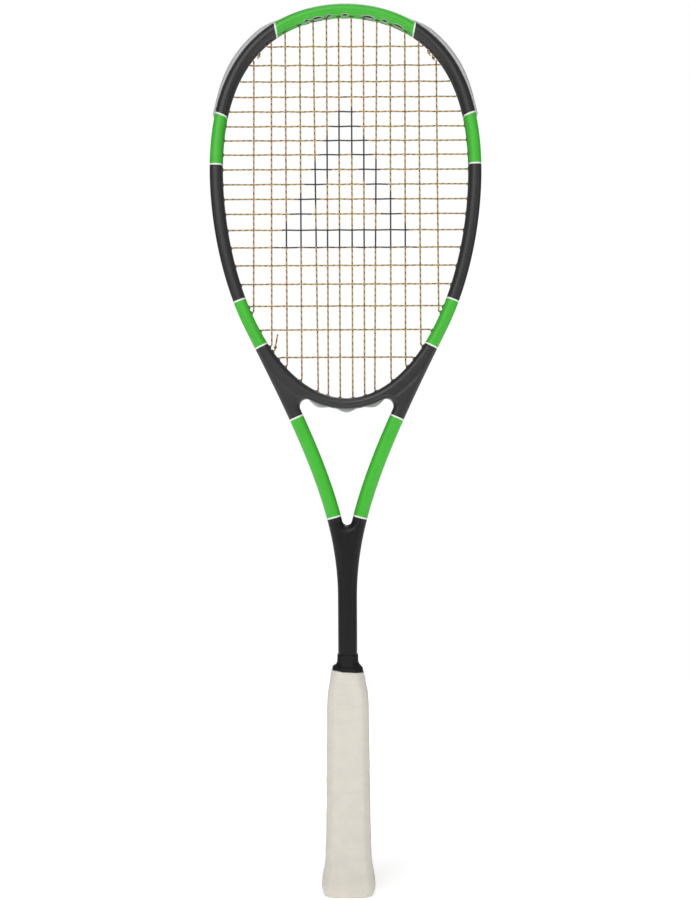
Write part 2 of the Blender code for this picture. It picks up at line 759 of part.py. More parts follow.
def grommet_strip(name, stations, section, holes, finish):
    """A strip in the rim's groove with a barrel through the rim for each hole."""
    strip = band(name, stations, section, finish)
    root = GROOVE_DEPTH - GAP - STRIP_THICKNESS / 2
    barrels = [(hole.mouth - hole.direction * BARREL_LIP, below_edge(hole, root)) for hole in holes]
    bores = [(hole.mouth - hole.direction * 2 * BARREL_LIP,
              hole.mouth + hole.direction * (hole.length + GROOVE_DEPTH)) for hole in holes]
    combine(strip, rods(f"{name} barrels", barrels, BARREL_RADIUS), "UNION")
    combine(strip, rods(f"{name} bores", bores, BARREL_BORE), "DIFFERENCE")
    return strip


def grommet_strips(holes):
    grey = material("bumper grey", (0.34, 0.34, 0.34), 0.55)
    clear = material("grommet nylon", (0.30, 0.31, 0.30), 0.45)
    lined = groups(holes)
    end = bumper_end(holes)
    guard = stations_between(outer_edge, end, FULL_STATION - end, BUMPER_STEPS)
    grommet_strip("bumper_guard", guard, bumper_section, lined["bumper"], grey)
    low = side_strip_end(holes)
    high = moved_along(outer_edge, end, -GAP)
    side = stations_between(outer_edge, low, high, STRIP_STEPS)
    grommet_strip("grommet_strip_right", side, strip_section, lined["right"], clear)
    other = stations_between(outer_edge, FULL_STATION - low, FULL_STATION - high, STRIP_STEPS)
    grommet_strip("grommet_strip_left", other, strip_section, lined["left"], clear)
    reach = throat_strip_end(holes)
    bridge = stations_between(bridge_edge, -math.pi - reach, reach, THROAT_STRIP_STEPS)
    grommet_strip("grommet_strip_throat", bridge, throat_section(holes), lined["throat"], clear)


def edge_radius(point):
    return HEAD_EDGE_RADIUS + (SHAFT_EDGE_RADIUS - HEAD_EDGE_RADIUS) * in_shaft(point)


def outer_wall(point):
    """The wall under the groove is deeper, down to where the side strips end on the throat arms."""
    depth = 1 - blend(OPENING_BOTTOM - point.y, 2 * BRIDGE_WIDTH, 6 * BRIDGE_WIDTH)
    return WALL + GROOVE_DEPTH * depth


def throat_wall(point):
    """Deep along the bridge, which has a groove below it, and plain along the arms."""
    off_bridge = OPENING_BOTTOM - point.y
    return WALL + GROOVE_DEPTH * (1 - blend(off_bridge, 1.1 * BRIDGE_WIDTH, 2 * BRIDGE_WIDTH))


def frame(holes):
    """The hollow moulding: hoop, bridge, arms and shaft in one, open at the shaft's end and at each hole."""
    graphite = material("painted graphite", (0.035, 0.035, 0.037), 0.4)
    loops = [frame_loop(SHAFT_BOTTOM), opening_loop(), throat_loop()]
    body = slab("frame", loops, BEAM / 2, edge_radius, EDGE_STEPS, graphite)
    outer = frame_loop(SHAFT_BOTTOM - 2 * WALL - CAP_FLOOR)
    inner_loops = [inset(outer, [outer_wall(point) for point in outer]),
                   inset(loops[1], [WALL] * len(loops[1])),
                   inset(loops[2], [throat_wall(point) for point in loops[2]])]
    hollow = slab("frame hollow", inner_loops, BEAM / 2 - WALL, lambda point: edge_radius(point) - WALL, 1)
    combine(body, hollow, "DIFFERENCE")
    low = moved_along(outer_edge, side_strip_end(holes), -GAP)
    groove = stations_between(outer_edge, low, FULL_STATION - low, 2 * (HOOP_STEPS + STRIP_STEPS // 4))
    combine(body, band("rim groove", groove, groove_section), "DIFFERENCE")
    reach = moved_along(bridge_edge, throat_strip_end(holes), GAP)
    under = stations_between(bridge_edge, -math.pi - reach, reach, THROAT_STRIP_STEPS)
    combine(body, band("bridge groove", under, groove_section), "DIFFERENCE")
    runs = [(hole.mouth - hole.direction * WALL, hole.mouth + hole.direction * (hole.length + WALL))
            for hole in holes.values()]
    combine(body, rods("string holes", runs, HOLE_RADIUS), "DIFFERENCE")


# The handle.
def grip_stations():
    """(height, section) of the grip's outside from the butt to the top of the visible grip."""
    middle = (GRIP_HALF_WIDTH, GRIP_HALF_DEPTH, GRIP_CORNER)
    butt = [(height, (middle[0] + x, middle[1] + y, middle[2])) for height, x, y in BUTT_STATIONS]
    neck = [(GRIP_LENGTH - depth, (middle[0] + x, middle[1] + y, middle[2])) for depth, x, y in NECK_STATIONS]
    return butt + neck


def grip_at(height):
    """The grip's outer section at this height."""
    stations = grip_stations()
    for (low, first), (high, second) in pairwise(stations):
        if height <= high:
            share = max((height - low) / (high - low), 0)
            return tuple(a + (b - a) * share for a, b in zip(first, second))
    return stations[-1][1]


def under_grip(extra=0.0, low=0.0, high=GRIP_LENGTH):
    """The grip's own inner surface between two heights, moved out by extra."""
    stations = [height for height, _ in grip_stations() if low < height < high]
    return [(height, grown(grip_at(height), extra - GRIP_THICKNESS)) for height in [low, *stations, high]]


def handle():
    """Pallet, butt cap, plug, staples, grip, tape and collar, each fitted round the one inside it."""
    foam = material("pallet foam", (0.20, 0.19, 0.17), 0.8)
    cap_plastic = material("cap plastic", (0.60, 0.58, 0.54), 0.5)
    plug_plastic = material("plug plastic", (0.05, 0.05, 0.05), 0.4)
    steel = material("staple steel", (0.55, 0.55, 0.56), 0.3, 1.0)
    white = material("grip polyurethane", (0.73, 0.68, 0.60), 0.7)
    black_tape = material("finishing tape", (0.02, 0.02, 0.02), 0.5)
    rubber = material("collar rubber", (0.012, 0.012, 0.012), 0.6)

    bore = (SHAFT_HALF_WIDTH + GAP, BEAM / 2 + GAP, NECK_CORNER)
    neck = grown(bore, NECK_WALL)
    bound_inner = grown(neck, GAP)
    bound_outer = grown(bound_inner, BOUND_END_THICKNESS)
    tape_inner = grown(bound_outer, GAP)
    tape_outer = grown(tape_inner, TAPE_THICKNESS)
    skirt_inner = grown(tape_outer, GAP)
    neck_top = GRIP_LENGTH + BOUND_END_HEIGHT
    step = NECK_STATIONS[-1][0]
    shoulder = GRIP_LENGTH - step - GRIP_THICKNESS

    cap_top = grown(grip_at(CAP_HEIGHT), -GRIP_THICKNESS - GAP)
    cap_inner = grown(cap_top, -CAP_SKIRT)
    rebate = grown(cap_inner, -GAP)
    cap_low = CAP_FLOOR + GAP
    pallet = stacked("handle_pallet", [
        (cap_low, rebate), (CAP_HEIGHT + GAP, rebate), *under_grip(-GAP, CAP_HEIGHT + GAP, shoulder - GAP),
        (shoulder + step - GAP, neck), (neck_top, neck), (neck_top, bore), (cap_low, bore)], foam)

    stem_hole = (PLUG_STEM_HALF + GAP, PLUG_STEM_HALF + GAP, PLUG_STEM_CORNER)
    plug_seat = (PLUG_HALF_WIDTH + GAP, PLUG_HALF_DEPTH + GAP, PLUG_CORNER)
    seat_top = PLUG_RECESS + PLUG_HEAD + GAP
    cap = stacked("butt_cap", [
        (0, plug_seat), *under_grip(-GAP, 0, CAP_HEIGHT), (CAP_HEIGHT, cap_inner), (CAP_FLOOR, cap_inner),
        (CAP_FLOOR, stem_hole), (seat_top, stem_hole), (seat_top, plug_seat)], cap_plastic)
    plug_head, stem = grown(plug_seat, -GAP), grown(stem_hole, -GAP)
    stacked("butt_plug", [(PLUG_RECESS, plug_head), (PLUG_RECESS + PLUG_HEAD, plug_head),
                          (PLUG_RECESS + PLUG_HEAD, stem), (CAP_FLOOR, stem)], plug_plastic, hollow=False)

    for side, name in ((1, "right"), (-1, "left")):
        staple(f"cap_staple_{name}", side, cap, pallet, steel)

    body = grip_stations()
    inside = under_grip(0, body[0][0], shoulder)
    stacked("grip_wrap", [*body, (GRIP_LENGTH, bound_outer), (neck_top, bound_outer), (neck_top, bound_inner),
                          (shoulder + step, bound_inner), *reversed(inside)], white)

    tape_low = GRIP_LENGTH + GAP
    stacked("finishing_tape", [(tape_low, tape_outer), (tape_low + TAPE_HEIGHT, tape_outer),
                               (tape_low + TAPE_HEIGHT, tape_inner), (tape_low, tape_inner)], black_tape)
    collar(skirt_inner, bore, tape_low, neck_top, rubber)


def staple(name, side, cap, pallet, finish):
    """A flat staple through the cap's skirt into the pallet, and the pocket and leg holes that it sits in."""
    face = grown(grip_at(STAPLE_HEIGHT + STAPLE_WIRE / 2 + GAP), -GRIP_THICKNESS - GAP)[0]
    crown = face - STAPLE_WIRE
    half, wire = STAPLE_WIDTH / 2, STAPLE_WIRE
    outline = [(face, -half), (face, half), (crown - STAPLE_LEG, half), (crown - STAPLE_LEG, half - wire),
               (crown, half - wire), (crown, wire - half), (crown - STAPLE_LEG, wire - half),
               (crown - STAPLE_LEG, -half)]
    mesh = bmesh.new()
    low, high = STAPLE_HEIGHT - wire / 2, STAPLE_HEIGHT + wire / 2
    skin(mesh, [[(x * side, y, height) for x, y in outline] for height in (low, high)])
    solid(name, mesh, finish)

    def box(x_low, x_high, y_low, y_high):
        xs = sorted((side * x_low, side * x_high))
        return (xs[0], y_low, low - GAP), (xs[1], y_high, high + GAP)

    pocket = box(crown - GAP, face + STAPLE_LEG, -half - GAP, half + GAP)
    combine(cap, blocks(f"{name} pocket", [pocket]), "DIFFERENCE")
    legs = [box(crown - STAPLE_LEG - GAP, face + GAP / 2, y - GAP, y + wire + GAP)
            for y in (-half, half - wire)]
    for body in (cap, pallet):
        combine(body, blocks(f"{name} leg holes in {body.name}", legs), "DIFFERENCE")


def collar(skirt_inner, bore, low, skirt_top, finish):
    """The rubber collar that slides up the shaft, with a skirt over the tape."""
    top = low + COLLAR_HEIGHT
    sleeve_low = skirt_top + COLLAR_FLARE
    outer = [(low, grown(skirt_inner, COLLAR_WALL)), (skirt_top, grown(skirt_inner, COLLAR_WALL)),
             (sleeve_low + COLLAR_WALL, grown(bore, 2 * COLLAR_WALL)), (top, grown(bore, COLLAR_WALL))]
    inner = [(top, bore), (sleeve_low, bore), (skirt_top, skirt_inner), (low, skirt_inner)]
    stacked("collar", outer + inner, finish)


def main():
    for obj in list(bpy.data.objects):
        bpy.data.objects.remove(obj)
    holes = drilled_holes()
    frame(holes)
    grommet_strips(holes)
    string = material("string", (0.62, 0.36, 0.16), 0.35)
    thread("main_string", main_string_path(holes), string)
    thread("cross_string", cross_string_path(holes), string)
    handle()


if __name__ == "__main__":
    main()
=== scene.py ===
"""Squash racket, built for looks around its fixed solid model.

Metres, +Z up, the racket stands on its butt and its front faces -Y. Outlines are drawn in (x, z) and handle
sections in (x, y), as in the solid model.
"""

import math
from collections import namedtuple
from itertools import chain, pairwise

import bmesh
import bpy
from mathutils import Matrix, Vector, noise


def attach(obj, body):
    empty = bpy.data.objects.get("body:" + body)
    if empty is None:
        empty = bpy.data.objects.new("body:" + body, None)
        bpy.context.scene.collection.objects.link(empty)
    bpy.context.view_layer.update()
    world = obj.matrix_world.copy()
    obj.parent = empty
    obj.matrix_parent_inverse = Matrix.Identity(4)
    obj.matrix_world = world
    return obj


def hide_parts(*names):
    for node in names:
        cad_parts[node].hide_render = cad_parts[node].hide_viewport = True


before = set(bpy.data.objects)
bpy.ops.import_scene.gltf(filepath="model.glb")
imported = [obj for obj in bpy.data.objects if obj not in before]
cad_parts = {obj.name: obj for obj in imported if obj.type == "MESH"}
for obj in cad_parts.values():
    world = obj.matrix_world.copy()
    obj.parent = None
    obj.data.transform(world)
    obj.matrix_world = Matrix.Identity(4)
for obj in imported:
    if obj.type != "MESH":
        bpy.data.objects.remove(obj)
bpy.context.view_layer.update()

bl_info = {
    "name": "Squash Racket Maker",
    "version": (1, 0, 0),
    "blender": (4, 5, 0),
    "location": "3D View > Sidebar > Racket",
    "description": "Builds a painted, strung and gripped squash racket piece by piece",
    "category": "Object",
}

MM = 0.001
GAP = 0.3 * MM
QUARTER = math.pi / 2

# The frame's outlines, the same as the solid model's.
GRIP_LENGTH = 171.6 * MM
SHAFT_LENGTH = 56.4 * MM
THROAT_LENGTH = 145.6 * MM
BRIDGE_WIDTH = 8.4 * MM
OPENING_LENGTH = 294.5 * MM
CROWN_WIDTH = 8.4 * MM
OPENING_HALF_WIDTH = 94.9 * MM
OPENING_FULLNESS = (0.984, 0.158, 0.110, 0.049)
RIM_WIDTH = 9.6 * MM
SHOULDER_ANGLE = math.radians(-38)
ARM_WIDTH = 10.9 * MM
ARM_UPPER_PULL = 0.48
ARM_LOWER_PULL = 0.275
FILLET_RADIUS = 5.4 * MM
NOTCH_RADIUS = 3.8 * MM
SHAFT_HALF_WIDTH = 7.3 * MM
SHAFT_BOTTOM = 6 * MM
BEAM = 20 * MM
GROOVE_DEPTH = 2.6 * MM
GROOVE_WIDTH = 6.4 * MM
WALL = 1.3 * MM

# Strings, holes and strips, the same as the solid model's.
MAIN_SHARES = (5, 9.5, 10.5, 10.5, 11.5, 12, 14, 21.9)
CROSS_SHARES = (21, 14, 14.5, 12, 11.5, 11.5, 11, 11, 11.5, 11.5, 11.5, 11.5, 12.5, 13.5, 14, 14.5, 17, 18.5,
                21.5, 30.5)
HOLE_RADIUS = 1.8 * MM
HOLE_PITCH = 4.3 * MM
BARREL_LIP = 1.0 * MM
STRIP_THICKNESS = 0.9 * MM
STRIP_END = 6 * MM
STRIP_TOP = GAP + STRIP_THICKNESS - GROOVE_DEPTH
LANE = 1.5 * MM
LANE_SHARE = 0.35
CHANNEL_HALF = 2.35 * MM
BRIDGE_MAINS = 3
BUMPER_CROSSES = 5
BUMPER_HALF_DEPTH = 7.6 * MM
BUMPER_CORNER_RISE = 3.3 * MM
BUMPER_THIN_ANGLE = math.radians(69)
BUMPER_THICK_ANGLE = math.radians(59)
THROAT_LUMP_RISE = 2.4 * MM
BEND_CLEARANCE = 0.8 * MM
LOOP_STEP = 6 * MM
LONG_TAIL = (2.3 * MM, -3.2 * MM, 12 * MM)
MAINS, CROSSES = len(MAIN_SHARES) - 1, len(CROSS_SHARES) - 1  # mains to each side, and all crosses

# The handle's sections, the same as the solid model's.
GRIP_MIDDLE = (16.5 * MM, 14.5 * MM, 5.2 * MM)
GRIP_THICKNESS = 1.8 * MM
BUTT_STATIONS = ((0.7, 1.5, 1.2), (2.7, 2.7, 2.3), (6, 3.9, 3.3), (11, 4.2, 3.6), (21, 1.9, 1.6),
                 (30, 1.2, 0.9), (58, 0.4, 0.3))  # (height, growth in x, growth in y) in millimetres
NECK_STATIONS = ((22, -0.4, -0.2), (13.5, -1.5, -0.5), (0.6, -4.2, -1.1))
BOUND_END_HEIGHT = 2.8 * MM
NECK_BORE = (SHAFT_HALF_WIDTH + GAP, BEAM / 2 + GAP, 3.4 * MM)
CORNER_GROWTH = 2 - math.sqrt(2)
TAPE_HEIGHT = 2.2 * MM
COLLAR_HEIGHT = 12.6 * MM
COLLAR_FLARE = 2.6 * MM

# Where the visible shapes differ from the solid model's, or have what it lacks.
BARREL_RADIUS = 1.45 * MM
BARREL_BORE = 0.95 * MM
LIP_SEAT, LIP_SWELL = 0.6 * MM, 0.1 * MM
STRIP_HALF = GROOVE_WIDTH / 2 - GAP / 3
STRIP_FLOOR = 0.05 * MM - GROOVE_DEPTH
CROWN_GUARD_RISE = 0.6 * MM
CROWN_GUARD_HALF_DEPTH = 5.2 * MM
CORNER_TAIL = 4.3 * MM
CORNER_TAIL_LEAN = 0.1  # how much the short ends lean out of the bed
CORNER_TAIL_STANDOFF = 0.3  # and away from the rim
KNOT_START = 0.9 * MM
KNOT_LENGTH = 2.6 * MM
KNOT_RADIUS = 1.3 * MM
KNOT_WAVE = 0.12  # how much the knot narrows at its waists
BAND_LEAN, BAND_LIFT, LEAN_REACH = 0.085, 0.8 * MM, 9 * MM  # the grip's upper edge sits higher on the left
TAPE_LEAN_SHARE = 0.4
VALLEY_DEPTH = 0.4 * MM
VALLEY_RADIUS = 8 * MM
VALLEY_SHIFT = 0.6 * MM  # how far a valley starts outside the hoop's edge
VALLEY_RUN_OUT = 0.15 * MM  # how far the cutter stands clear of the surface at a valley's ends
CROWN_WINDOWS = ((-29.5 * MM, 2.0 * MM), (-21.5 * MM, 3.9 * MM), (-12.5 * MM, 2.0 * MM), (0, 2.3 * MM),
                 (18 * MM, 4.9 * MM), (30.5 * MM, 2.5 * MM), (41 * MM, 4.2 * MM))  # (middle, half length)
WINDOW_HALF_HEIGHT, WINDOW_DROP, WINDOW_SIDES = 2.3 * MM, -0.5 * MM, 32
WINDOW_PROFILE = ((0.65 * MM, 0.02 * MM), (0.5 * MM, 0.26 * MM), (0.15 * MM, 0.3 * MM), (0, 0.08 * MM),
                  (-0.5 * MM, 0.05 * MM), (-1.6 * MM, 0.05 * MM))  # (out from the window's edge, proud)
WINDOW_RIM_STEPS = 3  # the profile's steps that make the pale rim, before the near-black patch of painted shadow

# How finely the visible shapes are drawn.
SLOPE_STEP = 1e-3
SOLVE_ROUNDS = 50
THIRDS_ROUNDS = 60
SHAFT_STEPS = 12
SPREAD_ROUNDS = 200
ARC_STEPS = 720
CROSSING_STEPS = 500
CORNER_SHARE = 0.45  # how much of a side a rounded corner may take
KNOT_STEPS = 12
VALLEY_STEPS, VALLEY_SIDES = 40, 72
GRIP_STEPS, BORE_STEPS = 380, 30
EDGE_WIDTH, SHAFT_EDGE_WIDTH = 3.95 * MM, 6.25 * MM  # how far the soft edge reaches over the front
EDGE_DEPTH, SHAFT_EDGE_DEPTH = 4.4 * MM, 6.8 * MM  # and down the side
HOOP_STEPS = 130
ARM_STEPS = 44
EDGE_STEPS = 7
STRIP_STEPS = 150
STRING_SIDES = 8
WEAVE_STEP = 1.4 * MM

SHAFT_TOP = GRIP_LENGTH + SHAFT_LENGTH
OPENING_BOTTOM = SHAFT_TOP + THROAT_LENGTH + BRIDGE_WIDTH
OPENING_CENTRE = OPENING_BOTTOM + OPENING_LENGTH / 2
SHOULDER_STATION, CROWN_STATION, FULL_STATION = 1, 2, 4

WHITE = (1, 1, 1, 1)
STENCIL_SLOPE = math.radians(65)
LAMPS = (("front_softbox", (-0.5, -2.2, 1.62), (0, 0, 0.46), 1.7, 35.5),
         ("top_softbox", (0, -0.5, 2.3), (0, 0, 0.6), 1.0, 7),
         ("left_fill", (-1.9, -1.5, 0.7), (0, 0, 0.36), 1.1, 2.2),
         ("right_fill", (1.9, -1.5, 0.7), (0, 0, 0.36), 1.1, 4.0),
         ("back_fill", (0.4, 1.9, 2.4), (0, 0, 0.4), 1.5, 22))  # (name, place, aim, size, watts)

Hole = namedtuple("Hole", "mouth direction length station slant")


# Settings that a user would change.
def length(name, description, default):
    return bpy.props.FloatProperty(name=name, description=description, default=default, unit="LENGTH",
                                   precision=5)


def colour(name, description, default):
    return bpy.props.FloatVectorProperty(name=name, description=description, default=default, size=3,
                                         subtype="COLOR", min=0, max=1)


def share(name, description, default):
    return bpy.props.FloatProperty(name=name, description=description, default=default, subtype="FACTOR",
                                   min=0, max=1)


def lean(name, description, degrees):
    return bpy.props.FloatProperty(name=name, description=description, default=math.radians(degrees),
                                   unit="ROTATION")


class RacketPaint(bpy.types.PropertyGroup):
    """The frame's paint scheme."""
    charcoal: colour("Charcoal", "Paint of the head between the bands", (0.0255, 0.0255, 0.026))
    shaft_black: colour("Shaft black", "Paint of the shaft and the throat below the bands",
                        (0.0085, 0.0085, 0.0085))
    green: colour("Green", "Paint of the bands", (0.052, 0.47, 0.030))
    pinstripe: colour("Pinstripe", "Thin line at each end of a band", (0.80, 0.82, 0.80))
    keyline: colour("Key line", "Thin dark line outside a pinstripe", (0.004, 0.004, 0.004))
    pinstripe_width: length("Pinstripe width", "Width of the light line at a band's end", 1.25 * MM)
    keyline_width: length("Key line width", "Width of the dark line outside it", 0.7 * MM)
    crown_reach: length("Crown band reach", "Half the width of the band over the crown", 53.6 * MM)
    side_top: length("Side band top", "Height of the side bands' upper ends", 601.0 * MM)
    side_bottom: length("Side band bottom", "Height of the side bands' lower ends", 562.5 * MM)
    shoulder_top: length("Shoulder band top", "Height of the shoulder bands' upper ends", 455.0 * MM)
    shoulder_bottom: length("Shoulder band bottom", "Height of the shoulder bands' lower ends", 420.4 * MM)
    arm_top: length("Arm band top", "Height of the throat arm bands' upper ends", 364.2 * MM)
    arm_bottom: length("Arm band bottom", "Height of the throat arm bands' lower ends", 289.6 * MM)
    crown_lean: lean("Crown band lean", "Turn of the crown band's ends from square to the rim", 20)
    side_lean: lean("Side band lean", "Turn of the side bands' upper ends from square to the rim", 9)
    gloss: share("Roughness", "How dull the lacquer is", 0.36)


class RacketStrings(bpy.types.PropertyGroup):
    """The strings and their colours."""
    gauge: length("Gauge", "Diameter of the string", 1.2 * MM)
    cross_wave: length("Cross wave", "How far a cross stands off the bed at a crossing", 0.72 * MM)
    main_wave: length("Main wave", "How far a main stands off the bed at a crossing", 0.46 * MM)
    lay: length("Lay", "Length of one turn of the coloured wrap", 4.8 * MM)
    main_light: colour("Main wrap", "Light colour of the main strings", (0.63, 0.40, 0.13))
    main_dark: colour("Main ply", "Dark colour of the main strings", (0.115, 0.070, 0.040))
    cross_light: colour("Cross wrap", "Light colour of the cross strings", (0.57, 0.37, 0.11))
    cross_dark: colour("Cross ply", "Dark colour of the cross strings", (0.11, 0.085, 0.045))
    ink: colour("Stencil ink", "Ink of the plain triangle stencilled on the strings", (0.018, 0.020, 0.026))
    stencil_height: length("Stencil height", "Height of the stencilled triangle", 118 * MM)
    stencil_band: length("Stencil band", "Width of the triangle's outline", 15 * MM)


class RacketFittings(bpy.types.PropertyGroup):
    """Colours of the plastic and rubber fittings, with the painted shade of the barrels' lips and the painted
    shadow in the crown's windows.
    """
    guard: colour("Bumper guard", "Grey of the bumper guard", (0.50, 0.50, 0.50))
    nylon: colour("Grommet nylon", "Milky nylon of the grommet strips", (0.46, 0.47, 0.46))
    rubber: colour("Collar rubber", "Black of the collar", (0.010, 0.010, 0.010))
    tape: colour("Finishing tape", "Black of the finishing tape", (0.014, 0.014, 0.014))
    cap: colour("Butt cap", "Plastic of the butt cap", (0.42, 0.41, 0.39))
    # Painted shadow: the near-black middles of the crown's windows stand for the shade inside recesses, though
    # they lie just proud of the surface.
    hollow: colour("Crown windows", "The dark inside of the crown's windows", (0.002, 0.002, 0.002))
    # Painted shade: the barrels' nylon, darkened to stand for the shade on the hoop's inner face where their
    # lips sit.
    painted_shade_lips: colour("Barrel lips", "Nylon of the barrels, greyed by the paint behind it", (0.10, 0.10, 0.10))
    plug: colour("Butt plug", "Plastic of the butt plug", (0.03, 0.03, 0.03))
    foam: colour("Pallet foam", "Foam of the handle pallet", (0.24, 0.22, 0.19))
    steel: colour("Staple steel", "Steel of the cap's staples", (0.60, 0.60, 0.60))


class RacketGrip(bpy.types.PropertyGroup):
    """The wound grip."""
    leather: colour("Grip", "Off-white of the cushioned grip", (0.70, 0.66, 0.585))
    # Grip shade is the greyer tone of random mottles and streaks, and also the painted shade in the pores.
    worn: colour("Grip shade", "Slightly greyer tone in its pores and creases", (0.60, 0.57, 0.505))
    strip_width: length("Wrap pitch", "Rise of one turn of the grip's strip", 27 * MM)
    lap_rise: length("Lap rise", "How far a lap stands proud of the turn below", 0.22 * MM)
    seam_depth: length("Seam depth", "Depth of the line between two turns", 0.28 * MM)


class RacketStudio(bpy.types.PropertyGroup):
    """Floor, lights and camera."""
    floor: colour("Floor", "Plain floor", (0.90, 0.90, 0.90))
    distance: length("Camera distance", "From the strings to the camera", 1.400)
    height: length("Camera height", "Above the floor", 0.3421)
    lens: bpy.props.FloatProperty(name="Lens", description="Focal length", default=72.6, unit="CAMERA")
    roll: lean("Roll", "Camera turn about its own line of sight", 0.26)
    surround: share("Surround", "Strength of the light from all round", 0.13)


class RacketSettings(bpy.types.PropertyGroup):
    """Everything that the racket's operators read."""
    paint: bpy.props.PointerProperty(type=RacketPaint)
    strings: bpy.props.PointerProperty(type=RacketStrings)
    fittings: bpy.props.PointerProperty(type=RacketFittings)
    grip: bpy.props.PointerProperty(type=RacketGrip)
    studio: bpy.props.PointerProperty(type=RacketStudio)


# Outlines in (x, z).
def mirrored(point):
    return Vector((-point.x, point.y))


def outward(curve, at):
    """The unit normal on the right of the way that the curve runs."""
    along = curve(at + SLOPE_STEP) - curve(at - SLOPE_STEP)
    return Vector((along.y, -along.x)).normalized()


def opening_point(angle):
    """The string opening's edge: angle 0 is on the right and a quarter turn is the crown."""
    height = math.sin(angle)
    fullness = sum(term * height**power for power, term in enumerate(OPENING_FULLNESS))
    half_width = OPENING_HALF_WIDTH * fullness
    return Vector((half_width * math.cos(angle), OPENING_CENTRE + OPENING_LENGTH / 2 * height))


def hoop_edge(angle):
    width = RIM_WIDTH - (RIM_WIDTH - CROWN_WIDTH) * max(0, math.sin(angle)) ** 2
    return opening_point(angle) + outward(opening_point, angle) * width


def bridge_edge(angle):
    return opening_point(angle) + outward(opening_point, angle) * BRIDGE_WIDTH


def arm_edge(at):
    """The outer edge from the shaft's top, 0, up the throat arm to the shoulder, 1."""
    foot = Vector((SHAFT_HALF_WIDTH, SHAFT_TOP))
    shoulder = hoop_edge(SHOULDER_ANGLE)
    normal = outward(hoop_edge, SHOULDER_ANGLE)
    reach = (shoulder - foot).length
    foot_handle = foot + Vector((0, ARM_LOWER_PULL * reach))
    shoulder_handle = shoulder + Vector((normal.y, -normal.x)) * ARM_UPPER_PULL * reach
    rest = 1 - at
    return (rest**3 * foot + 3 * rest**2 * at * foot_handle
            + 3 * rest * at**2 * shoulder_handle + at**3 * shoulder)


def outer_edge(station):
    """The outer edge: 0 the right shaft, 1 the right shoulder, 2 the crown, 3 and 4 the same on the left."""
    if station > CROWN_STATION:
        return mirrored(outer_edge(FULL_STATION - station))
    if station < SHOULDER_STATION:
        return arm_edge(station)
    return hoop_edge(SHOULDER_ANGLE + (QUARTER - SHOULDER_ANGLE) * (station - SHOULDER_STATION))


def arm_inside(at, extra=0):
    return arm_edge(at) - outward(arm_edge, at) * (ARM_WIDTH + extra)


def solved(wanted, low, high):
    """Where wanted, negative at low and positive at high, passes zero."""
    for _ in range(SOLVE_ROUNDS):
        middle = (low + high) / 2
        low, high = (middle, high) if wanted(middle) < 0 else (low, middle)
    return (low + high) / 2


def nearest_angle(point):
    """The angle of the place on the lower part of the string opening that is nearest to the point."""
    low, high = -QUARTER, SHOULDER_ANGLE
    for _ in range(THIRDS_ROUNDS):
        first, second = low + (high - low) / 3, high - (high - low) / 3
        if (opening_point(first) - point).length < (opening_point(second) - point).length:
            high = second
        else:
            low = first
    return (low + high) / 2


def arc(centre, start, end, radius, steps):
    """Points from the start direction to the end direction, the short way round."""
    turn = start.angle_signed(end)
    return [centre + Matrix.Rotation(-turn * i / steps, 2) @ start * radius for i in range(steps + 1)]


def fillet_share():
    """Where along the arm the fillet between the arm and the bridge has its centre."""
    def crowding(at):
        centre = arm_inside(at, FILLET_RADIUS)
        return BRIDGE_WIDTH + FILLET_RADIUS - (opening_point(nearest_angle(centre)) - centre).length
    return solved(crowding, 0.3, 0.95)


def bridge_end():
    """The angle where the bridge ends and the fillet begins."""
    return nearest_angle(arm_inside(fillet_share(), FILLET_RADIUS))


def throat_loop():
    """The open triangle between the bridge and the arms, with the frame on its left."""
    corner = fillet_share()
    notch = solved(lambda at: arm_inside(at, NOTCH_RADIUS).x, 0.02, 0.8)
    fillet_centre = arm_inside(corner, FILLET_RADIUS)
    notch_centre = arm_inside(notch, NOTCH_RADIUS)
    last_angle = bridge_end()
    bridge = [bridge_edge(-QUARTER + (last_angle + QUARTER) * i / 18) for i in range(18)]
    up = (bridge_edge(last_angle) - fillet_centre).normalized()
    fillet = arc(fillet_centre, up, outward(arm_edge, corner), FILLET_RADIUS, 14)
    arm = [arm_inside(corner + (notch - corner) * i / 28) for i in range(1, 28)]
    foot = arc(notch_centre, outward(arm_edge, notch), Vector((0, -1)), NOTCH_RADIUS, 8)
    right = bridge + fillet + arm + foot
    return right + [mirrored(point) for point in right[-2:0:-1]]


def opening_loop():
    steps = 2 * HOOP_STEPS
    return [opening_point(-math.tau * i / steps) for i in range(steps)]


def frame_loop():
    arm = [i / ARM_STEPS for i in range(ARM_STEPS)]
    hoop = [SHOULDER_STATION + i / HOOP_STEPS for i in range(HOOP_STEPS)]
    stations = arm + hoop + [CROWN_STATION] + [FULL_STATION - station for station in reversed(arm + hoop)]
    shaft = [Vector((SHAFT_HALF_WIDTH, SHAFT_BOTTOM + (SHAFT_TOP - SHAFT_BOTTOM) * i / SHAFT_STEPS))
             for i in range(SHAFT_STEPS)]
    edge = [outer_edge(station) for station in stations]
    return shaft + edge + [mirrored(point) for point in reversed(shaft)]


def inset(loop, distances):
    """The closed outline moved to its left, each point by its own distance."""
    moved = []
    for i, point in enumerate(loop):
        before = (point - loop[i - 1]).normalized()
        after = (loop[(i + 1) % len(loop)] - point).normalized()
        left = Vector((-before.y - after.y, before.x + after.x)) / (1 + before.dot(after))
        moved.append(point + left * distances[i])
    return moved


def blend(value, start, end):
    """0 at the start and before, 1 at the end and past it, smooth between."""
    part = min(max((value - start) / (end - start), 0), 1)
    return part * part * (3 - 2 * part)


def in_shaft(point):
    """0 in the head, 1 in the shaft."""
    return blend(point.y, OPENING_BOTTOM - 3 * BRIDGE_WIDTH, SHAFT_TOP)


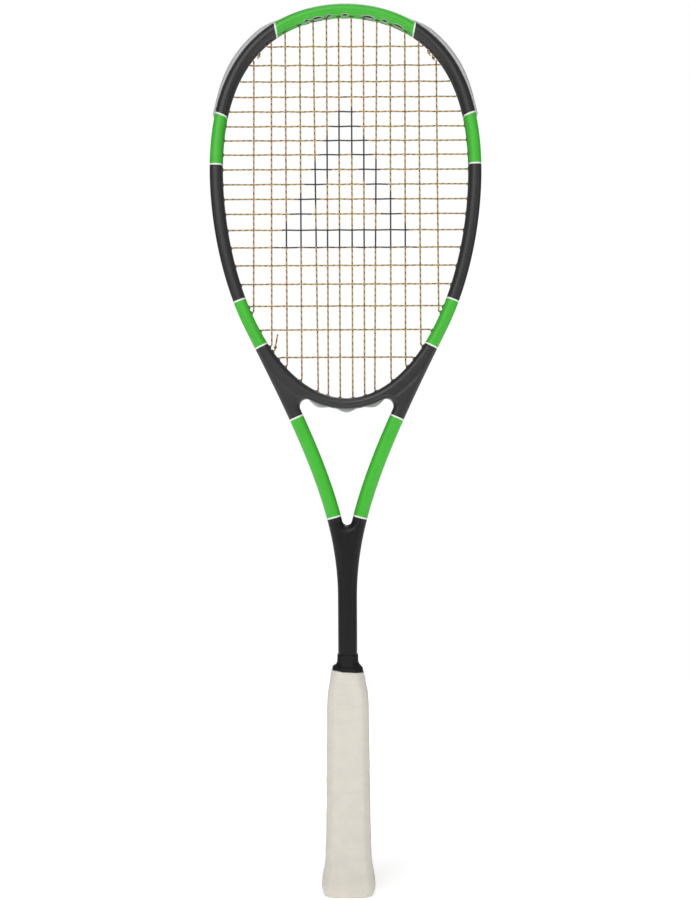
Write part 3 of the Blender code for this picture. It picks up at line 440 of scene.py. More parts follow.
# The string pattern.
def arc_table():
    """(length along the string opening from the bridge's middle up the right side, angle) pairs."""
    table, run = [], 0
    for i in range(ARC_STEPS + 1):
        angle = -QUARTER + math.pi * i / ARC_STEPS
        if i:
            run += (opening_point(angle) - opening_point(angle - math.pi / ARC_STEPS)).length
        table.append((run, angle))
    return table


def looked_up(table, value, column):
    """The other column's value where this column has the value, between the rows of a rising table."""
    for low, high in pairwise(table):
        if value <= high[column]:
            part = (value - low[column]) / (high[column] - low[column])
            return low[1 - column] + part * (high[1 - column] - low[1 - column])
    return table[-1][1 - column]


def spread(places):
    """The same places in order along the rim, moved apart wherever holes would come too close."""
    names = sorted(places, key=places.get)
    for _ in range(SPREAD_ROUNDS):
        for first, second in pairwise(names):
            short = HOLE_PITCH - (places[second] - places[first])
            if short > 0:
                places[first] -= short / 2
                places[second] += short / 2
    return places


def string_places():
    """Where each string meets the rim on the right side, as lengths along the string opening."""
    table = arc_table()
    widest = max((angle for _, angle in table), key=lambda angle: opening_point(angle).x)
    bridge_length = looked_up(table, bridge_end(), 1)
    places = {}
    for i in range(MAINS):
        x = OPENING_HALF_WIDTH * sum(MAIN_SHARES[: i + 1]) / sum(MAIN_SHARES)
        top = solved(lambda angle: x - opening_point(angle).x, widest, QUARTER)
        bottom = solved(lambda angle: opening_point(angle).x - x, -QUARTER, widest)
        places["main top", i] = looked_up(table, top, 1)
        place = looked_up(table, bottom, 1)
        if i < BRIDGE_MAINS:
            places["main bottom", i] = min(place, bridge_length - HOLE_RADIUS - GAP)
        else:
            places["main bottom", i] = max(place, bridge_length + FILLET_RADIUS + WALL + HOLE_RADIUS)
    for i in range(CROSSES):
        drop = sum(CROSS_SHARES[: i + 1]) / sum(CROSS_SHARES)
        places["cross", i] = looked_up(table, math.asin(1 - 2 * drop), 1)
    return spread(places)


def edge_hit(start, direction):
    """(distance, station) of the first place where a line from inside meets the right outer edge."""
    hits = []
    for i in range(CROSSING_STEPS):
        first, last = (CROWN_STATION * (i + j) / CROSSING_STEPS for j in (0, 1))
        a, b = outer_edge(first), outer_edge(last)
        along = b - a
        cross = direction.x * along.y - direction.y * along.x
        if abs(cross) < 1e-12:
            continue
        gap = a - start
        distance = (gap.x * along.y - gap.y * along.x) / cross
        part = (gap.x * direction.y - gap.y * direction.x) / cross
        if distance > 0 and 0 <= part <= 1:
            hits.append((distance, first + (last - first) * part))
    return min(hits)


def drilled(place, table, bridge=False):
    """The hole at this length along the string opening, square to it."""
    angle = looked_up(table, place, 0)
    mouth, direction = opening_point(angle), outward(opening_point, angle)
    if bridge:
        return Hole(mouth, direction, BRIDGE_WIDTH, angle, 1)
    reach, station = edge_hit(mouth, direction)
    return Hole(mouth, direction, reach, station, 1 / direction.dot(outward(outer_edge, station)))


def mirrored_hole(hole, bridge=False):
    station = -math.pi - hole.station if bridge else FULL_STATION - hole.station
    return hole._replace(mouth=mirrored(hole.mouth), direction=mirrored(hole.direction), station=station)


def in_bridge(key):
    return key[0] == "main bottom" and key[1] < BRIDGE_MAINS


def drilled_holes():
    """Every hole by (kind, number, side): side is 1 on the right and -1 on the left."""
    table = arc_table()
    places = string_places()
    holes = {}
    for key, place in places.items():
        hole = drilled(place, table, in_bridge(key))
        holes[*key, 1] = hole
        holes[*key, -1] = mirrored_hole(hole, in_bridge(key))
    outer_main = MAINS - 1
    low, high = places["main top", outer_main], places["cross", 0]
    holes["main end", 0, 1] = drilled(low + (high - low) / 3, table)
    holes["cross start", 0, 1] = drilled(high - (high - low) / 3, table)
    holes["main start", 0, -1] = mirrored_hole(drilled((low + high) / 2, table))
    end = drilled(places["main bottom", outer_main - 1] - HOLE_PITCH, table)
    holes["cross end", 0, -1] = mirrored_hole(end)
    return holes


HOLES = drilled_holes()


def space(point, y=0.0):
    return Vector((point.x, y, point.y))


def inner_bend(hole):
    """Where the string turns as it leaves the barrel's tip."""
    return hole.mouth - hole.direction * (BARREL_LIP + BEND_CLEARANCE)


def below_edge(hole, depth):
    """The point in the hole's axis at this depth under the rim's outer edge."""
    return hole.mouth + hole.direction * (hole.length - depth * hole.slant)


def outside_run(first, second, lane, gauge):
    """The string's way along the outside of the rim between two holes. It steps aside to pass others."""
    height = STRIP_TOP + gauge / 2
    edge = bridge_edge if in_bridge(first) else outer_edge
    start, end = HOLES[first].station, HOLES[second].station
    passed = sorted((hole.station for key, hole in HOLES.items() if in_bridge(key) == in_bridge(first)
                     and min(start, end) < hole.station < max(start, end)), reverse=end < start)
    if passed:
        near, far = 1 - LANE_SHARE, LANE_SHARE
        stations = [start * far + passed[0] * near, end * far + passed[-1] * near]
    else:
        steps = math.ceil((edge(end) - edge(start)).length / LOOP_STEP)
        stations = [start + (end - start) * i / steps for i in range(1, steps)]
    aside = lane if passed else 0
    way = [space(edge(station) + outward(edge, station) * height, aside) for station in stations]
    return [space(below_edge(HOLES[first], -height)), *way, space(below_edge(HOLES[second], -height))]


def main_keys():
    """The mains from left to right as (number, side)."""
    return [(number, -1) for number in reversed(range(MAINS))] + [(number, 1) for number in range(MAINS)]


def main_line(main, side):
    return [inner_bend(HOLES[kind, main, side]) for kind in ("main top", "main bottom")]


def cross_line(number):
    return [inner_bend(HOLES["cross", number, side]) for side in (-1, 1)]


def crossing(first, second):
    """Where two straight runs in (x, z) meet, or None."""
    (a, b), (c, d) = first, second
    one, two, gap = b - a, d - c, c - a
    cross = one.x * two.y - one.y * two.x
    along_one = (gap.x * two.y - gap.y * two.x) / cross
    along_two = (gap.x * one.y - gap.y * one.x) / cross
    return a + one * along_one if 0 < along_one < 1 and 0 < along_two < 1 else None


def waved(line, meetings):
    """Points along a straight run that sway through the given (point, height) meetings."""
    start, end = line
    reach = (end - start).length
    stops = sorted([(0, 0), (reach, 0)] + [((point - start).length, height) for point, height in meetings])
    points = []
    for (low, from_height), (high, to_height) in pairwise(stops):
        steps = max(2, round((high - low) / WEAVE_STEP))
        for i in range(steps):
            distance = low + (high - low) * i / steps
            height = from_height + (to_height - from_height) * blend(i / steps, 0, 1)
            points.append(space(start + (end - start) * distance / reach, height))
    return points + [space(end)]


def woven_run(line, others, parity, wave):
    """Points along a string's run that passes over and under each of the others that it meets."""
    meetings = []
    for i, other in enumerate(others):
        meeting = crossing(line, other)
        if meeting:
            meetings.append((meeting, -wave if (i + parity) % 2 else wave))
    return waved(line, meetings)


def main_runs(wave):
    """(first hole, last hole, points) of each main, down the first and up the next."""
    crosses = [cross_line(number) for number in range(CROSSES)]
    for i, key in enumerate(main_keys()):
        run = woven_run(main_line(*key), crosses, i, wave)
        top, bottom = ("main top", *key), ("main bottom", *key)
        yield (bottom, top, run[::-1]) if i % 2 else (top, bottom, run)


def cross_runs(wave):
    """(first hole, last hole, points) of each cross, the first to the left and the next to the right."""
    mains = [main_line(*key) for key in main_keys()]
    for number in range(CROSSES):
        run = woven_run(cross_line(number), mains, number, -wave)
        left, right = ("cross", number, -1), ("cross", number, 1)
        yield (left, right, run) if number % 2 else (right, left, run[::-1])


def corner_curve(start, corner, end, steps):
    """Points along the soft curve that takes a corner's place."""
    shares = [i / steps for i in range(steps + 1)]
    return [start.lerp(corner, share).lerp(corner.lerp(end, share), share) for share in shares]


def softened(points, radius):
    """The path with each sharp corner rounded off over this radius."""
    path = [points[0]]
    for before, corner, after in zip(points, points[1:], points[2:]):
        near, far = before - corner, after - corner
        if near.length < 1e-6 or far.length < 1e-6 or near.angle(far) > math.radians(165):
            path.append(corner)
            continue
        start = corner + near.normalized() * min(radius, near.length * CORNER_SHARE)
        end = corner + far.normalized() * min(radius, far.length * CORNER_SHARE)
        path += corner_curve(start, corner, end, 5)
    return path + [points[-1]]


def knotted(hole, way, gauge):
    """The (point, radius) stations of a string's end inside the rim: a knot, then the loose end along way."""
    start, way = space(inner_bend(hole)), Vector(way)
    reach, way = way.length, way.normalized()
    stations = [(start, gauge / 2)]
    for i in range(KNOT_STEPS + 1):
        part = i / KNOT_STEPS
        waist = 1 - KNOT_WAVE + KNOT_WAVE * math.cos(part * math.tau * 2)
        swell = math.sqrt(max(0, 1 - (2 * part - 1) ** 2)) * waist
        distance = KNOT_START + KNOT_LENGTH * part
        stations.append((start + way * distance, max(gauge / 2, KNOT_RADIUS * swell)))
    return stations + [(start + way * reach * 0.97, gauge / 2), (start + way * reach, gauge * 0.4)]


def tied_end(key, gauge):
    """The stations of a string's end: the long loose tail, or a short knotted end that lies along the rim."""
    hole = HOLES[key]
    if key[0] == "cross end":
        return knotted(hole, LONG_TAIL, gauge)
    along = Vector((hole.direction.y, -hole.direction.x)) * math.copysign(1, hole.mouth.x)
    way = space(along - hole.direction * CORNER_TAIL_STANDOFF, -CORNER_TAIL_LEAN).normalized() * CORNER_TAIL
    return knotted(hole, way, gauge)


def string_path(start, runs, end, lane, gauge):
    """(point, radius) stations of a whole string: its first knot, its softened way and its last knot."""
    middle, last = [], start
    for first, second, run in runs:
        middle += outside_run(last, first, lane, gauge) + run
        last = second
    middle += outside_run(last, end, lane, gauge)
    head, tail = tied_end(start, gauge), tied_end(end, gauge)
    way = softened([head[0][0], *middle, tail[0][0]], 1.1 * gauge)
    return head[:0:-1] + [(point, gauge / 2) for point in way] + tail[1:]


# Meshes.
def piece(name, data, finish, sharp=40):
    """An object of this mesh with smooth faces, sharp only where it turns by more than this many degrees."""
    if not data.polygons:
        raise RuntimeError(f"{name} came out with no faces")
    obj = bpy.data.objects.new(name, data)
    bpy.context.scene.collection.objects.link(obj)
    data.materials.clear()
    data.materials.append(finish)
    data.shade_smooth()
    data.set_sharp_from_angle(angle=math.radians(sharp))
    return obj


def tidy_mesh(name, mesh):
    bmesh.ops.recalc_face_normals(mesh, faces=mesh.faces)
    data = bpy.data.meshes.new(name)
    mesh.to_mesh(data)
    mesh.free()
    return data


def skin(mesh, rings, closed=False, capped=True):
    """Faces between rings of points, with end caps unless the last ring meets the first."""
    made = [[mesh.verts.new(point) for point in ring] for ring in rings]
    for near, far in pairwise(made + made[:1] if closed else made):
        for i in range(len(near)):
            mesh.faces.new((near[i - 1], near[i], far[i], far[i - 1]))
    if capped and not closed:
        mesh.faces.new(made[0])
        mesh.faces.new(made[-1])


def skinned(name, rings, closed=False):
    """The mesh of the faces between rings of points."""
    mesh = bmesh.new()
    skin(mesh, rings, closed)
    return tidy_mesh(name, mesh)


def leaned(rings, slope, lift, fade):
    """The rings raised, and more so on the left, by the share that fade gives for each point's height."""
    for point in chain.from_iterable(rings):
        point.z += fade(point.z) * (point.x * -slope + lift)
    return rings


def evaluated(obj):
    """A new mesh of the object with its modifiers applied."""
    bpy.context.view_layer.update()
    graph = bpy.context.evaluated_depsgraph_get()
    return bpy.data.meshes.new_from_object(obj.evaluated_get(graph))


def carved(name, data, cutters):
    """The mesh with each cutter mesh taken out of it."""
    obj = bpy.data.objects.new(name, data)
    bpy.context.scene.collection.objects.link(obj)
    helpers = []
    for cutter in cutters:
        helper = bpy.data.objects.new(cutter.name, cutter)
        bpy.context.scene.collection.objects.link(helper)
        modifier = obj.modifiers.new(cutter.name, "BOOLEAN")
        modifier.operation = "DIFFERENCE"
        modifier.solver = "EXACT"
        modifier.object = helper
        helpers.append(helper)
    made = evaluated(obj)
    for helper in [*helpers, obj]:
        bpy.data.objects.remove(helper)
    return made


def joined(meshes):
    """One mesh of several."""
    mesh = bmesh.new()
    for data in meshes:
        mesh.from_mesh(data)
    made = bpy.data.meshes.new(meshes[0].name)
    mesh.to_mesh(made)
    mesh.free()
    return made


def band(name, edge, start, end, steps, section):
    """A strip that follows the rim: section(station) gives its (outward, y) corners."""
    rings = []
    for i in range(steps + 1):
        station = start + (end - start) * i / steps
        point, normal = edge(station), outward(edge, station)
        rings.append([(point.x + normal.x * out, y, point.y + normal.y * out) for out, y in section(station)])
    return skinned(name, rings)


def rods(name, runs, radius, sides=20):
    """Round rods, one for each (start, end) pair in (x, z)."""
    mesh = bmesh.new()
    for start, end in runs:
        along = Vector((end.x - start.x, 0, end.y - start.y))
        middle = Vector(((start.x + end.x) / 2, 0, (start.y + end.y) / 2))
        place = Matrix.Translation(middle) @ along.to_track_quat("Z", "Y").to_matrix().to_4x4()
        bmesh.ops.create_cone(mesh, cap_ends=True, segments=sides, radius1=radius, radius2=radius,
                              depth=along.length, matrix=place)
    return tidy_mesh(name, mesh)


def turned(mesh, start, way, profile, sides=18):
    """A closed turned ring about a line: the profile is a loop of (distance along, radius) points."""
    across = Vector((0, 1, 0))
    other = way.cross(across)
    rings = []
    for along, radius in profile:
        rings.append([start + way * along + (across * math.cos(turn) + other * math.sin(turn)) * radius
                      for turn in (math.tau * i / sides for i in range(sides))])
    skin(mesh, rings, closed=True)


def barrels(name, holes, root):
    """The hollow barrels that line the holes, each with a rounded lip inside the hoop."""
    mesh = bmesh.new()
    for hole in holes:
        start = space(hole.mouth - hole.direction * BARREL_LIP)
        reach = (space(below_edge(hole, root)) - start).length
        profile = [(0.35 * MM, BARREL_BORE + LIP_SWELL), (0.3 * MM, BARREL_BORE + 2.5 * LIP_SWELL),
                   (0.4 * MM, BARREL_RADIUS), (BARREL_LIP * 0.6, BARREL_RADIUS + LIP_SWELL),
                   (BARREL_LIP, BARREL_RADIUS), (reach, BARREL_RADIUS), (reach, BARREL_BORE),
                   (LIP_SEAT, BARREL_BORE)]
        turned(mesh, start, space(hole.direction), profile)
    return tidy_mesh(name, mesh)


def rounded_polygon(points, radius, steps=4):
    """The closed outline with its corners rounded."""
    path = []
    for i, corner in enumerate(points):
        following = points[(i + 1) % len(points)]
        before, corner, after = (Vector(point) for point in (points[i - 1], corner, following))
        near, far = before - corner, after - corner
        reach = min(radius, near.length * CORNER_SHARE, far.length * CORNER_SHARE)
        start, end = corner + near.normalized() * reach, corner + far.normalized() * reach
        path += corner_curve(start, corner, end, steps)
    return path


def frame_slab():
    """The frame's outside: a plate across y whose edges turn over in a long soft curve."""
    mesh = bmesh.new()
    turns = [math.pi / 2 * (1 - i / EDGE_STEPS) for i in range(EDGE_STEPS + 1)]
    for loop in (frame_loop(), opening_loop(), throat_loop()):
        widths = [EDGE_WIDTH + (SHAFT_EDGE_WIDTH - EDGE_WIDTH) * in_shaft(point) for point in loop]
        depths = [EDGE_DEPTH + (SHAFT_EDGE_DEPTH - EDGE_DEPTH) * in_shaft(point) for point in loop]
        rings = []
        for side, order in ((-1, turns), (1, turns[::-1])):
            for turn in order:
                points = inset(loop, [width * (1 - math.cos(turn)) for width in widths])
                rings.append([(point.x, side * (BEAM / 2 - depth * (1 - math.sin(turn))), point.y)
                              for point, depth in zip(points, depths)])
        skin(mesh, rings, capped=False)
    for side in (-1, 1):
        rim = [edge for edge in mesh.edges if edge.is_boundary
               and all(vert.co.y * side > BEAM / 2 - 1e-6 for vert in edge.verts)]
        bmesh.ops.triangle_fill(mesh, use_beauty=True, edges=rim)
    return tidy_mesh("frame_shell", mesh)


def valley_rings(side, face):
    """The rings of a cutter that grazes the surface between the hoop and one throat arm."""
    start, end = bridge_end() + 0.02, SHOULDER_ANGLE + 0.06
    turns = [math.tau * k / VALLEY_SIDES for k in range(VALLEY_SIDES)]
    rings = []
    for i in range(VALLEY_STEPS + 1):
        part = i / VALLEY_STEPS
        angle = start + (end - start) * part
        depth = VALLEY_DEPTH * blend(part, 0, 0.12) * (1 - blend(part, 0.45, 1)) - VALLEY_RUN_OUT
        normal = outward(opening_point, angle)
        point = opening_point(angle) + normal * (RIM_WIDTH + VALLEY_SHIFT * (1 - part))
        centre = Vector((point.x * side, face * (BEAM / 2 - depth + VALLEY_RADIUS), point.y))
        across = Vector((normal.x * side, 0, normal.y))
        rings.append([centre + (across * math.cos(turn) + Vector((0, 1, 0)) * math.sin(turn)) * VALLEY_RADIUS
                      for turn in turns])
    return rings


def web_valleys():
    """Cutters for the shallow valleys between the hoop and the throat arms, on both faces and sides."""
    return [skinned("web_valley", valley_rings(side, face)) for side in (1, -1) for face in (1, -1)]


def weighted(obj):
    """Flat faces keep their own shading right up to the soft edges."""
    modifier = obj.modifiers.new("weighted", "WEIGHTED_NORMAL")
    modifier.keep_sharp = True
    data = evaluated(obj)
    obj.modifiers.clear()
    obj.data = data


def moved_along(edge, station, distance):
    """The station this far past another one along an edge."""
    reach = 5 * SLOPE_STEP
    return station + distance * 2 * reach / (edge(station + reach) - edge(station - reach)).length


def in_bumper(key):
    return key[0] in ("main top", "main start", "main end", "cross start") or (
        key[0] == "cross" and key[1] < BUMPER_CROSSES)


def holes_of(wanted):
    return [hole for key, hole in HOLES.items() if wanted(key)]


def bumper_end():
    """The station on the right side where the bumper guard ends and the side strip begins."""
    return (HOLES["cross", BUMPER_CROSSES - 1, 1].station + HOLES["cross", BUMPER_CROSSES, 1].station) / 2


def side_strip_end():
    return moved_along(outer_edge, HOLES["main bottom", BRIDGE_MAINS, 1].station, -STRIP_END)


def throat_strip_end():
    return moved_along(bridge_edge, HOLES["main bottom", BRIDGE_MAINS - 1, 1].station, STRIP_END / 2)


def groove_section(_station):
    half, corner = GROOVE_WIDTH / 2, 0.5 * MM
    low, high = -GROOVE_DEPTH, RIM_WIDTH / 3
    return [(low, -half + corner), (low, half - corner), (low + corner, half), (high, half), (high, -half),
            (low + corner, -half)]


def both_sides(corners):
    """The section's corners for y above 0, and the same below it."""
    return corners + [(out, -y) for out, y in reversed(corners)]


def strip_section(_station):
    return rounded_polygon([(STRIP_FLOOR, -STRIP_HALF), (STRIP_FLOOR, STRIP_HALF), (STRIP_TOP, STRIP_HALF),
                            (STRIP_TOP, -STRIP_HALF)], 0.25 * MM)


def bumper_section(station):
    """A thin guard over the crown that swells over the head's corners and thins again to its ends."""
    right = min(station, FULL_STATION - station)
    angle = SHOULDER_ANGLE + (QUARTER - SHOULDER_ANGLE) * (right - SHOULDER_STATION)
    swell = 1 - blend(angle, BUMPER_THICK_ANGLE, BUMPER_THIN_ANGLE)
    swell *= 0.35 + 0.65 * blend(angle, BUMPER_THICK_ANGLE / 2, BUMPER_THICK_ANGLE * 0.8)
    rise = CROWN_GUARD_RISE + (BUMPER_CORNER_RISE - CROWN_GUARD_RISE) * swell
    depth = CROWN_GUARD_HALF_DEPTH + (BUMPER_HALF_DEPTH - CROWN_GUARD_HALF_DEPTH) * blend(swell, 0, 0.5)
    return rounded_polygon(both_sides([
        (STRIP_FLOOR, STRIP_HALF), (0, STRIP_HALF), (-0.35 * MM, depth - 0.4 * MM), (rise * 0.45, depth),
        (rise, depth - rise * 0.9), (rise, CHANNEL_HALF), (STRIP_TOP, CHANNEL_HALF)]), 0.7 * MM)


def throat_section(angle):
    """The throat strip's channel, whose walls stand up in a lump beside each run of string."""
    def across(number, side):
        return HOLES["main bottom", number, side].mouth.x
    middles = [0.0] + [(across(number, side) + across(number + 1, side)) / 2
                       for number in range(1, BRIDGE_MAINS, 2) for side in (1, -1)]
    reach = (across(1, 1) - across(0, 1)) * 0.9
    near = min(abs(opening_point(angle).x - middle) for middle in middles)
    rise = (THROAT_LUMP_RISE + GAP) * (1 - blend(near, 0, reach)) - GAP / 2
    corners = [(STRIP_FLOOR, STRIP_HALF), (rise, STRIP_HALF), (rise, CHANNEL_HALF), (STRIP_TOP, CHANNEL_HALF)]
    return rounded_polygon(both_sides(corners), 0.4 * MM)


def on_inner_edge(angle, drop, proud, face):
    """A point on the hoop's inside near its turn to the face: drop runs from the turn towards the face."""
    normal = outward(opening_point, angle)
    turn = max(drop, 0) / ((EDGE_WIDTH + EDGE_DEPTH) / 2)
    inward = EDGE_WIDTH * (1 - math.cos(turn)) - proud * math.cos(turn)
    y = BEAM / 2 - EDGE_DEPTH + (EDGE_DEPTH * math.sin(turn) if drop > 0 else drop) + proud * math.sin(turn)
    point = opening_point(angle) + normal * inward
    return Vector((point.x, y * face, point.y))


def crown_angle(across):
    """The angle of the place on the upper part of the string opening that is this far from the middle."""
    return solved(lambda angle: across - opening_point(angle).x, QUARTER / 2, QUARTER * 3 / 2)


def window_rings(angle, half, face):
    """The rings of one oval window, from the outside of its rim in to its near-black patch of painted shadow.
    """
    per_angle = (opening_point(angle + SLOPE_STEP) - opening_point(angle)).length / SLOPE_STEP
    rings = []
    for rim, proud in WINDOW_PROFILE:
        ring = []
        for turn in (math.tau * k / WINDOW_SIDES for k in range(WINDOW_SIDES)):
            along = (half + rim) * math.cos(turn) / per_angle
            drop = WINDOW_DROP + (WINDOW_HALF_HEIGHT + rim) * math.sin(turn)
            ring.append(on_inner_edge(angle - along, drop, proud, face))
        rings.append(ring)
    return rings


def crown_slots(rim_finish, painted_shadow_finish):
    """Oval windows between the crown's string holes, on both faces: a raised pale rim round a near-black
    patch, painted shadow that stands for a recess, though the patch lies just proud of the surface.
    """
    mesh = bmesh.new()
    # Which faces take the painted shadow rather than the pale rim.
    hollow = []
    for face in (1, -1):
        for across, half in CROWN_WINDOWS:
            rings = [[mesh.verts.new(point) for point in ring]
                     for ring in window_rings(crown_angle(across), half, face)]
            for level, (near, far) in enumerate(pairwise(rings)):
                for k in range(WINDOW_SIDES):
                    mesh.faces.new((near[k - 1], near[k], far[k], far[k - 1]))
                    hollow.append(level >= WINDOW_RIM_STEPS)
            mesh.faces.new(rings[-1])
            hollow.append(True)
    obj = piece("crown_rims_and_painted_shadows", tidy_mesh("crown_rims_and_painted_shadows", mesh), rim_finish, sharp=60)
    obj.data.materials.append(painted_shadow_finish)
    for polygon, dark in zip(obj.data.polygons, hollow):
        polygon.material_index = int(dark)
    return obj


def strip_piece(name, edge, start, end, steps, section, holes, finish, painted_shade_lip_finish):
    """A strip in the rim's groove with bored seats, and a hollow barrel for each of its holes."""
    strip = band(name, edge, start, end, steps, section)
    bores = [(below_edge(hole, GROOVE_DEPTH + GAP), below_edge(hole, -GROOVE_DEPTH * 2)) for hole in holes]
    strip = carved(name, strip, [rods(f"{name}_bores", bores, BARREL_BORE)])
    made = joined([strip, barrels(f"{name}_barrels", holes, GROOVE_DEPTH - STRIP_THICKNESS / 2)])
    made.name = name
    count = len(strip.polygons)
    obj = piece(name, made, finish)
    # The barrels take the darker finish, painted shade.
    obj.data.materials.append(painted_shade_lip_finish)
    for face in obj.data.polygons[count:]:
        face.material_index = 1
    return obj


def string_tube(name, stations, lay, finish):
    """A round string along (point, radius) stations. Its UV map counts the wrap's turns along and round it."""
    points = [point for point, _ in stations]
    verts, faces, uvs = [], [], []
    run = 0
    for i, (point, radius) in enumerate(stations):
        ahead = (points[min(i + 1, len(points) - 1)] - points[max(i - 1, 0)]).normalized()
        across = (Vector((0, 1, 0)) - ahead * ahead.y).normalized()
        other = ahead.cross(across)
        if i:
            run += (point - points[i - 1]).length
        for k in range(STRING_SIDES):
            turn = math.tau * k / STRING_SIDES
            verts.append(point + (across * math.cos(turn) + other * math.sin(turn)) * radius)
        if i:
            base = (i - 1) * STRING_SIDES
            before = (run - (point - points[i - 1]).length) / lay
            for k in range(STRING_SIDES):
                far = (k + 1) % STRING_SIDES
                faces.append((base + k, base + far, base + STRING_SIDES + far, base + STRING_SIDES + k))
                low, high = k / STRING_SIDES, (k + 1) / STRING_SIDES
                uvs += [before, low, before, high, run / lay, high, run / lay, low]
    count = len(verts)
    caps = [tuple(range(STRING_SIDES)), tuple(range(count - 1, count - 1 - STRING_SIDES, -1))]
    for _ in caps:
        uvs += [0.0, 0.0] * STRING_SIDES
    data = bpy.data.meshes.new(name)
    data.from_pydata(verts, [], faces + caps)
    data.uv_layers.new(name="wrap").data.foreach_set("uv", uvs)
    return piece(name, data, finish, sharp=60)


def grown(section, distance):
    """The eight-sided section with every side moved out by this distance."""
    half_x, half_y, corner = section
    return half_x + distance, half_y + distance, corner + CORNER_GROWTH * distance


def section_ring(section, radius, height, side_steps=5):
    """Points round an eight-sided section with softened corners, all at one height."""
    half_x, half_y, corner = section
    quarter = [(half_x, half_y - corner), (half_x - corner, half_y)]
    half = quarter + [(-x, y) for x, y in reversed(quarter)]
    soft = rounded_polygon(half + [(-x, -y) for x, y in half], radius)
    steps = len(soft) // 8
    ring = []
    for i, point in enumerate(soft):
        ring.append(Vector((point.x, point.y, height)))
        if i % steps == steps - 1:
            far = soft[(i + 1) % len(soft)]
            for j in range(1, side_steps):
                middle = point.lerp(far, j / side_steps)
                ring.append(Vector((middle.x, middle.y, height)))
    return ring


def grip_stations():
    butt = [(h * MM, x * MM, y * MM) for h, x, y in BUTT_STATIONS]
    neck = [(GRIP_LENGTH - depth * MM, x * MM, y * MM) for depth, x, y in NECK_STATIONS]
    return butt + neck


def grip_section(height):
    """The grip's outer section at this height, its flare and neck drawn in soft curves."""
    stations = grip_stations()
    def more(at):
        for (low, x0, y0), (high, x1, y1) in pairwise(stations):
            if at <= high:
                part = max((at - low) / (high - low), 0)
                return x0 + (x1 - x0) * part, y0 + (y1 - y0) * part
        return stations[-1][1:]
    reach = min(height, 3.2 * MM)
    samples = [more(height + reach * (i - 2) / 2) for i in range(5)]
    weights = (1, 2, 3, 2, 1)
    x = sum(weight * sample[0] for weight, sample in zip(weights, samples)) / sum(weights)
    y = sum(weight * sample[1] for weight, sample in zip(weights, samples)) / sum(weights)
    return GRIP_MIDDLE[0] + x, GRIP_MIDDLE[1] + y, GRIP_MIDDLE[2]


def grip_relief(height, turn, settings):
    """How far the grip stands proud at this height and share of a turn: laps, seams and small creases."""
    pitch = settings.strip_width
    top_fade = 1 - blend(height, GRIP_LENGTH - 5 * MM, GRIP_LENGTH - 1 * MM)
    butt_fade = blend(height, 1 * MM, 5 * MM)
    along = ((height / pitch - turn + 0.31) % 1) * pitch
    lap = settings.lap_rise * (1 - blend(along, 0, 9 * MM))
    seam = settings.seam_depth * math.exp(-(min(along, pitch - along) / (0.55 * MM)) ** 2)
    right, back = math.cos(turn * math.tau), math.sin(turn * math.tau)
    soft = noise.noise(Vector((right * 0.9, back * 0.9, height / (11 * MM)))) * 0.16 * MM
    crease = noise.noise(Vector((right * 1.4, back * 1.4, height / (2.2 * MM))))
    neck_crease = blend(height, GRIP_LENGTH - 34 * MM, GRIP_LENGTH - 14 * MM) * crease * 0.16 * MM
    butt_crease = (1 - blend(height, 14 * MM, 26 * MM)) * crease * 0.10 * MM
    ring = 0.22 * MM * math.exp(-((height - 13.4 * MM - 1.2 * MM * right) / (0.6 * MM)) ** 2)
    return (lap - seam + soft + neck_crease + butt_crease - ring) * top_fade * butt_fade


def moved_out(ring, distances):
    """The ring with each point moved square to the outline by its own distance."""
    moved = []
    for i, point in enumerate(ring):
        along = ring[(i + 1) % len(ring)] - ring[i - 1]
        normal = Vector((along.y, -along.x, 0)).normalized()
        moved.append(point + normal * distances[i])
    return moved


def handle_rings(profile, radius):
    """Rings round the racket's neck: profile is a loop of (growth from the neck's bore, height) points."""
    return [section_ring(grown(NECK_BORE, growth), radius, height) for growth, height in profile]


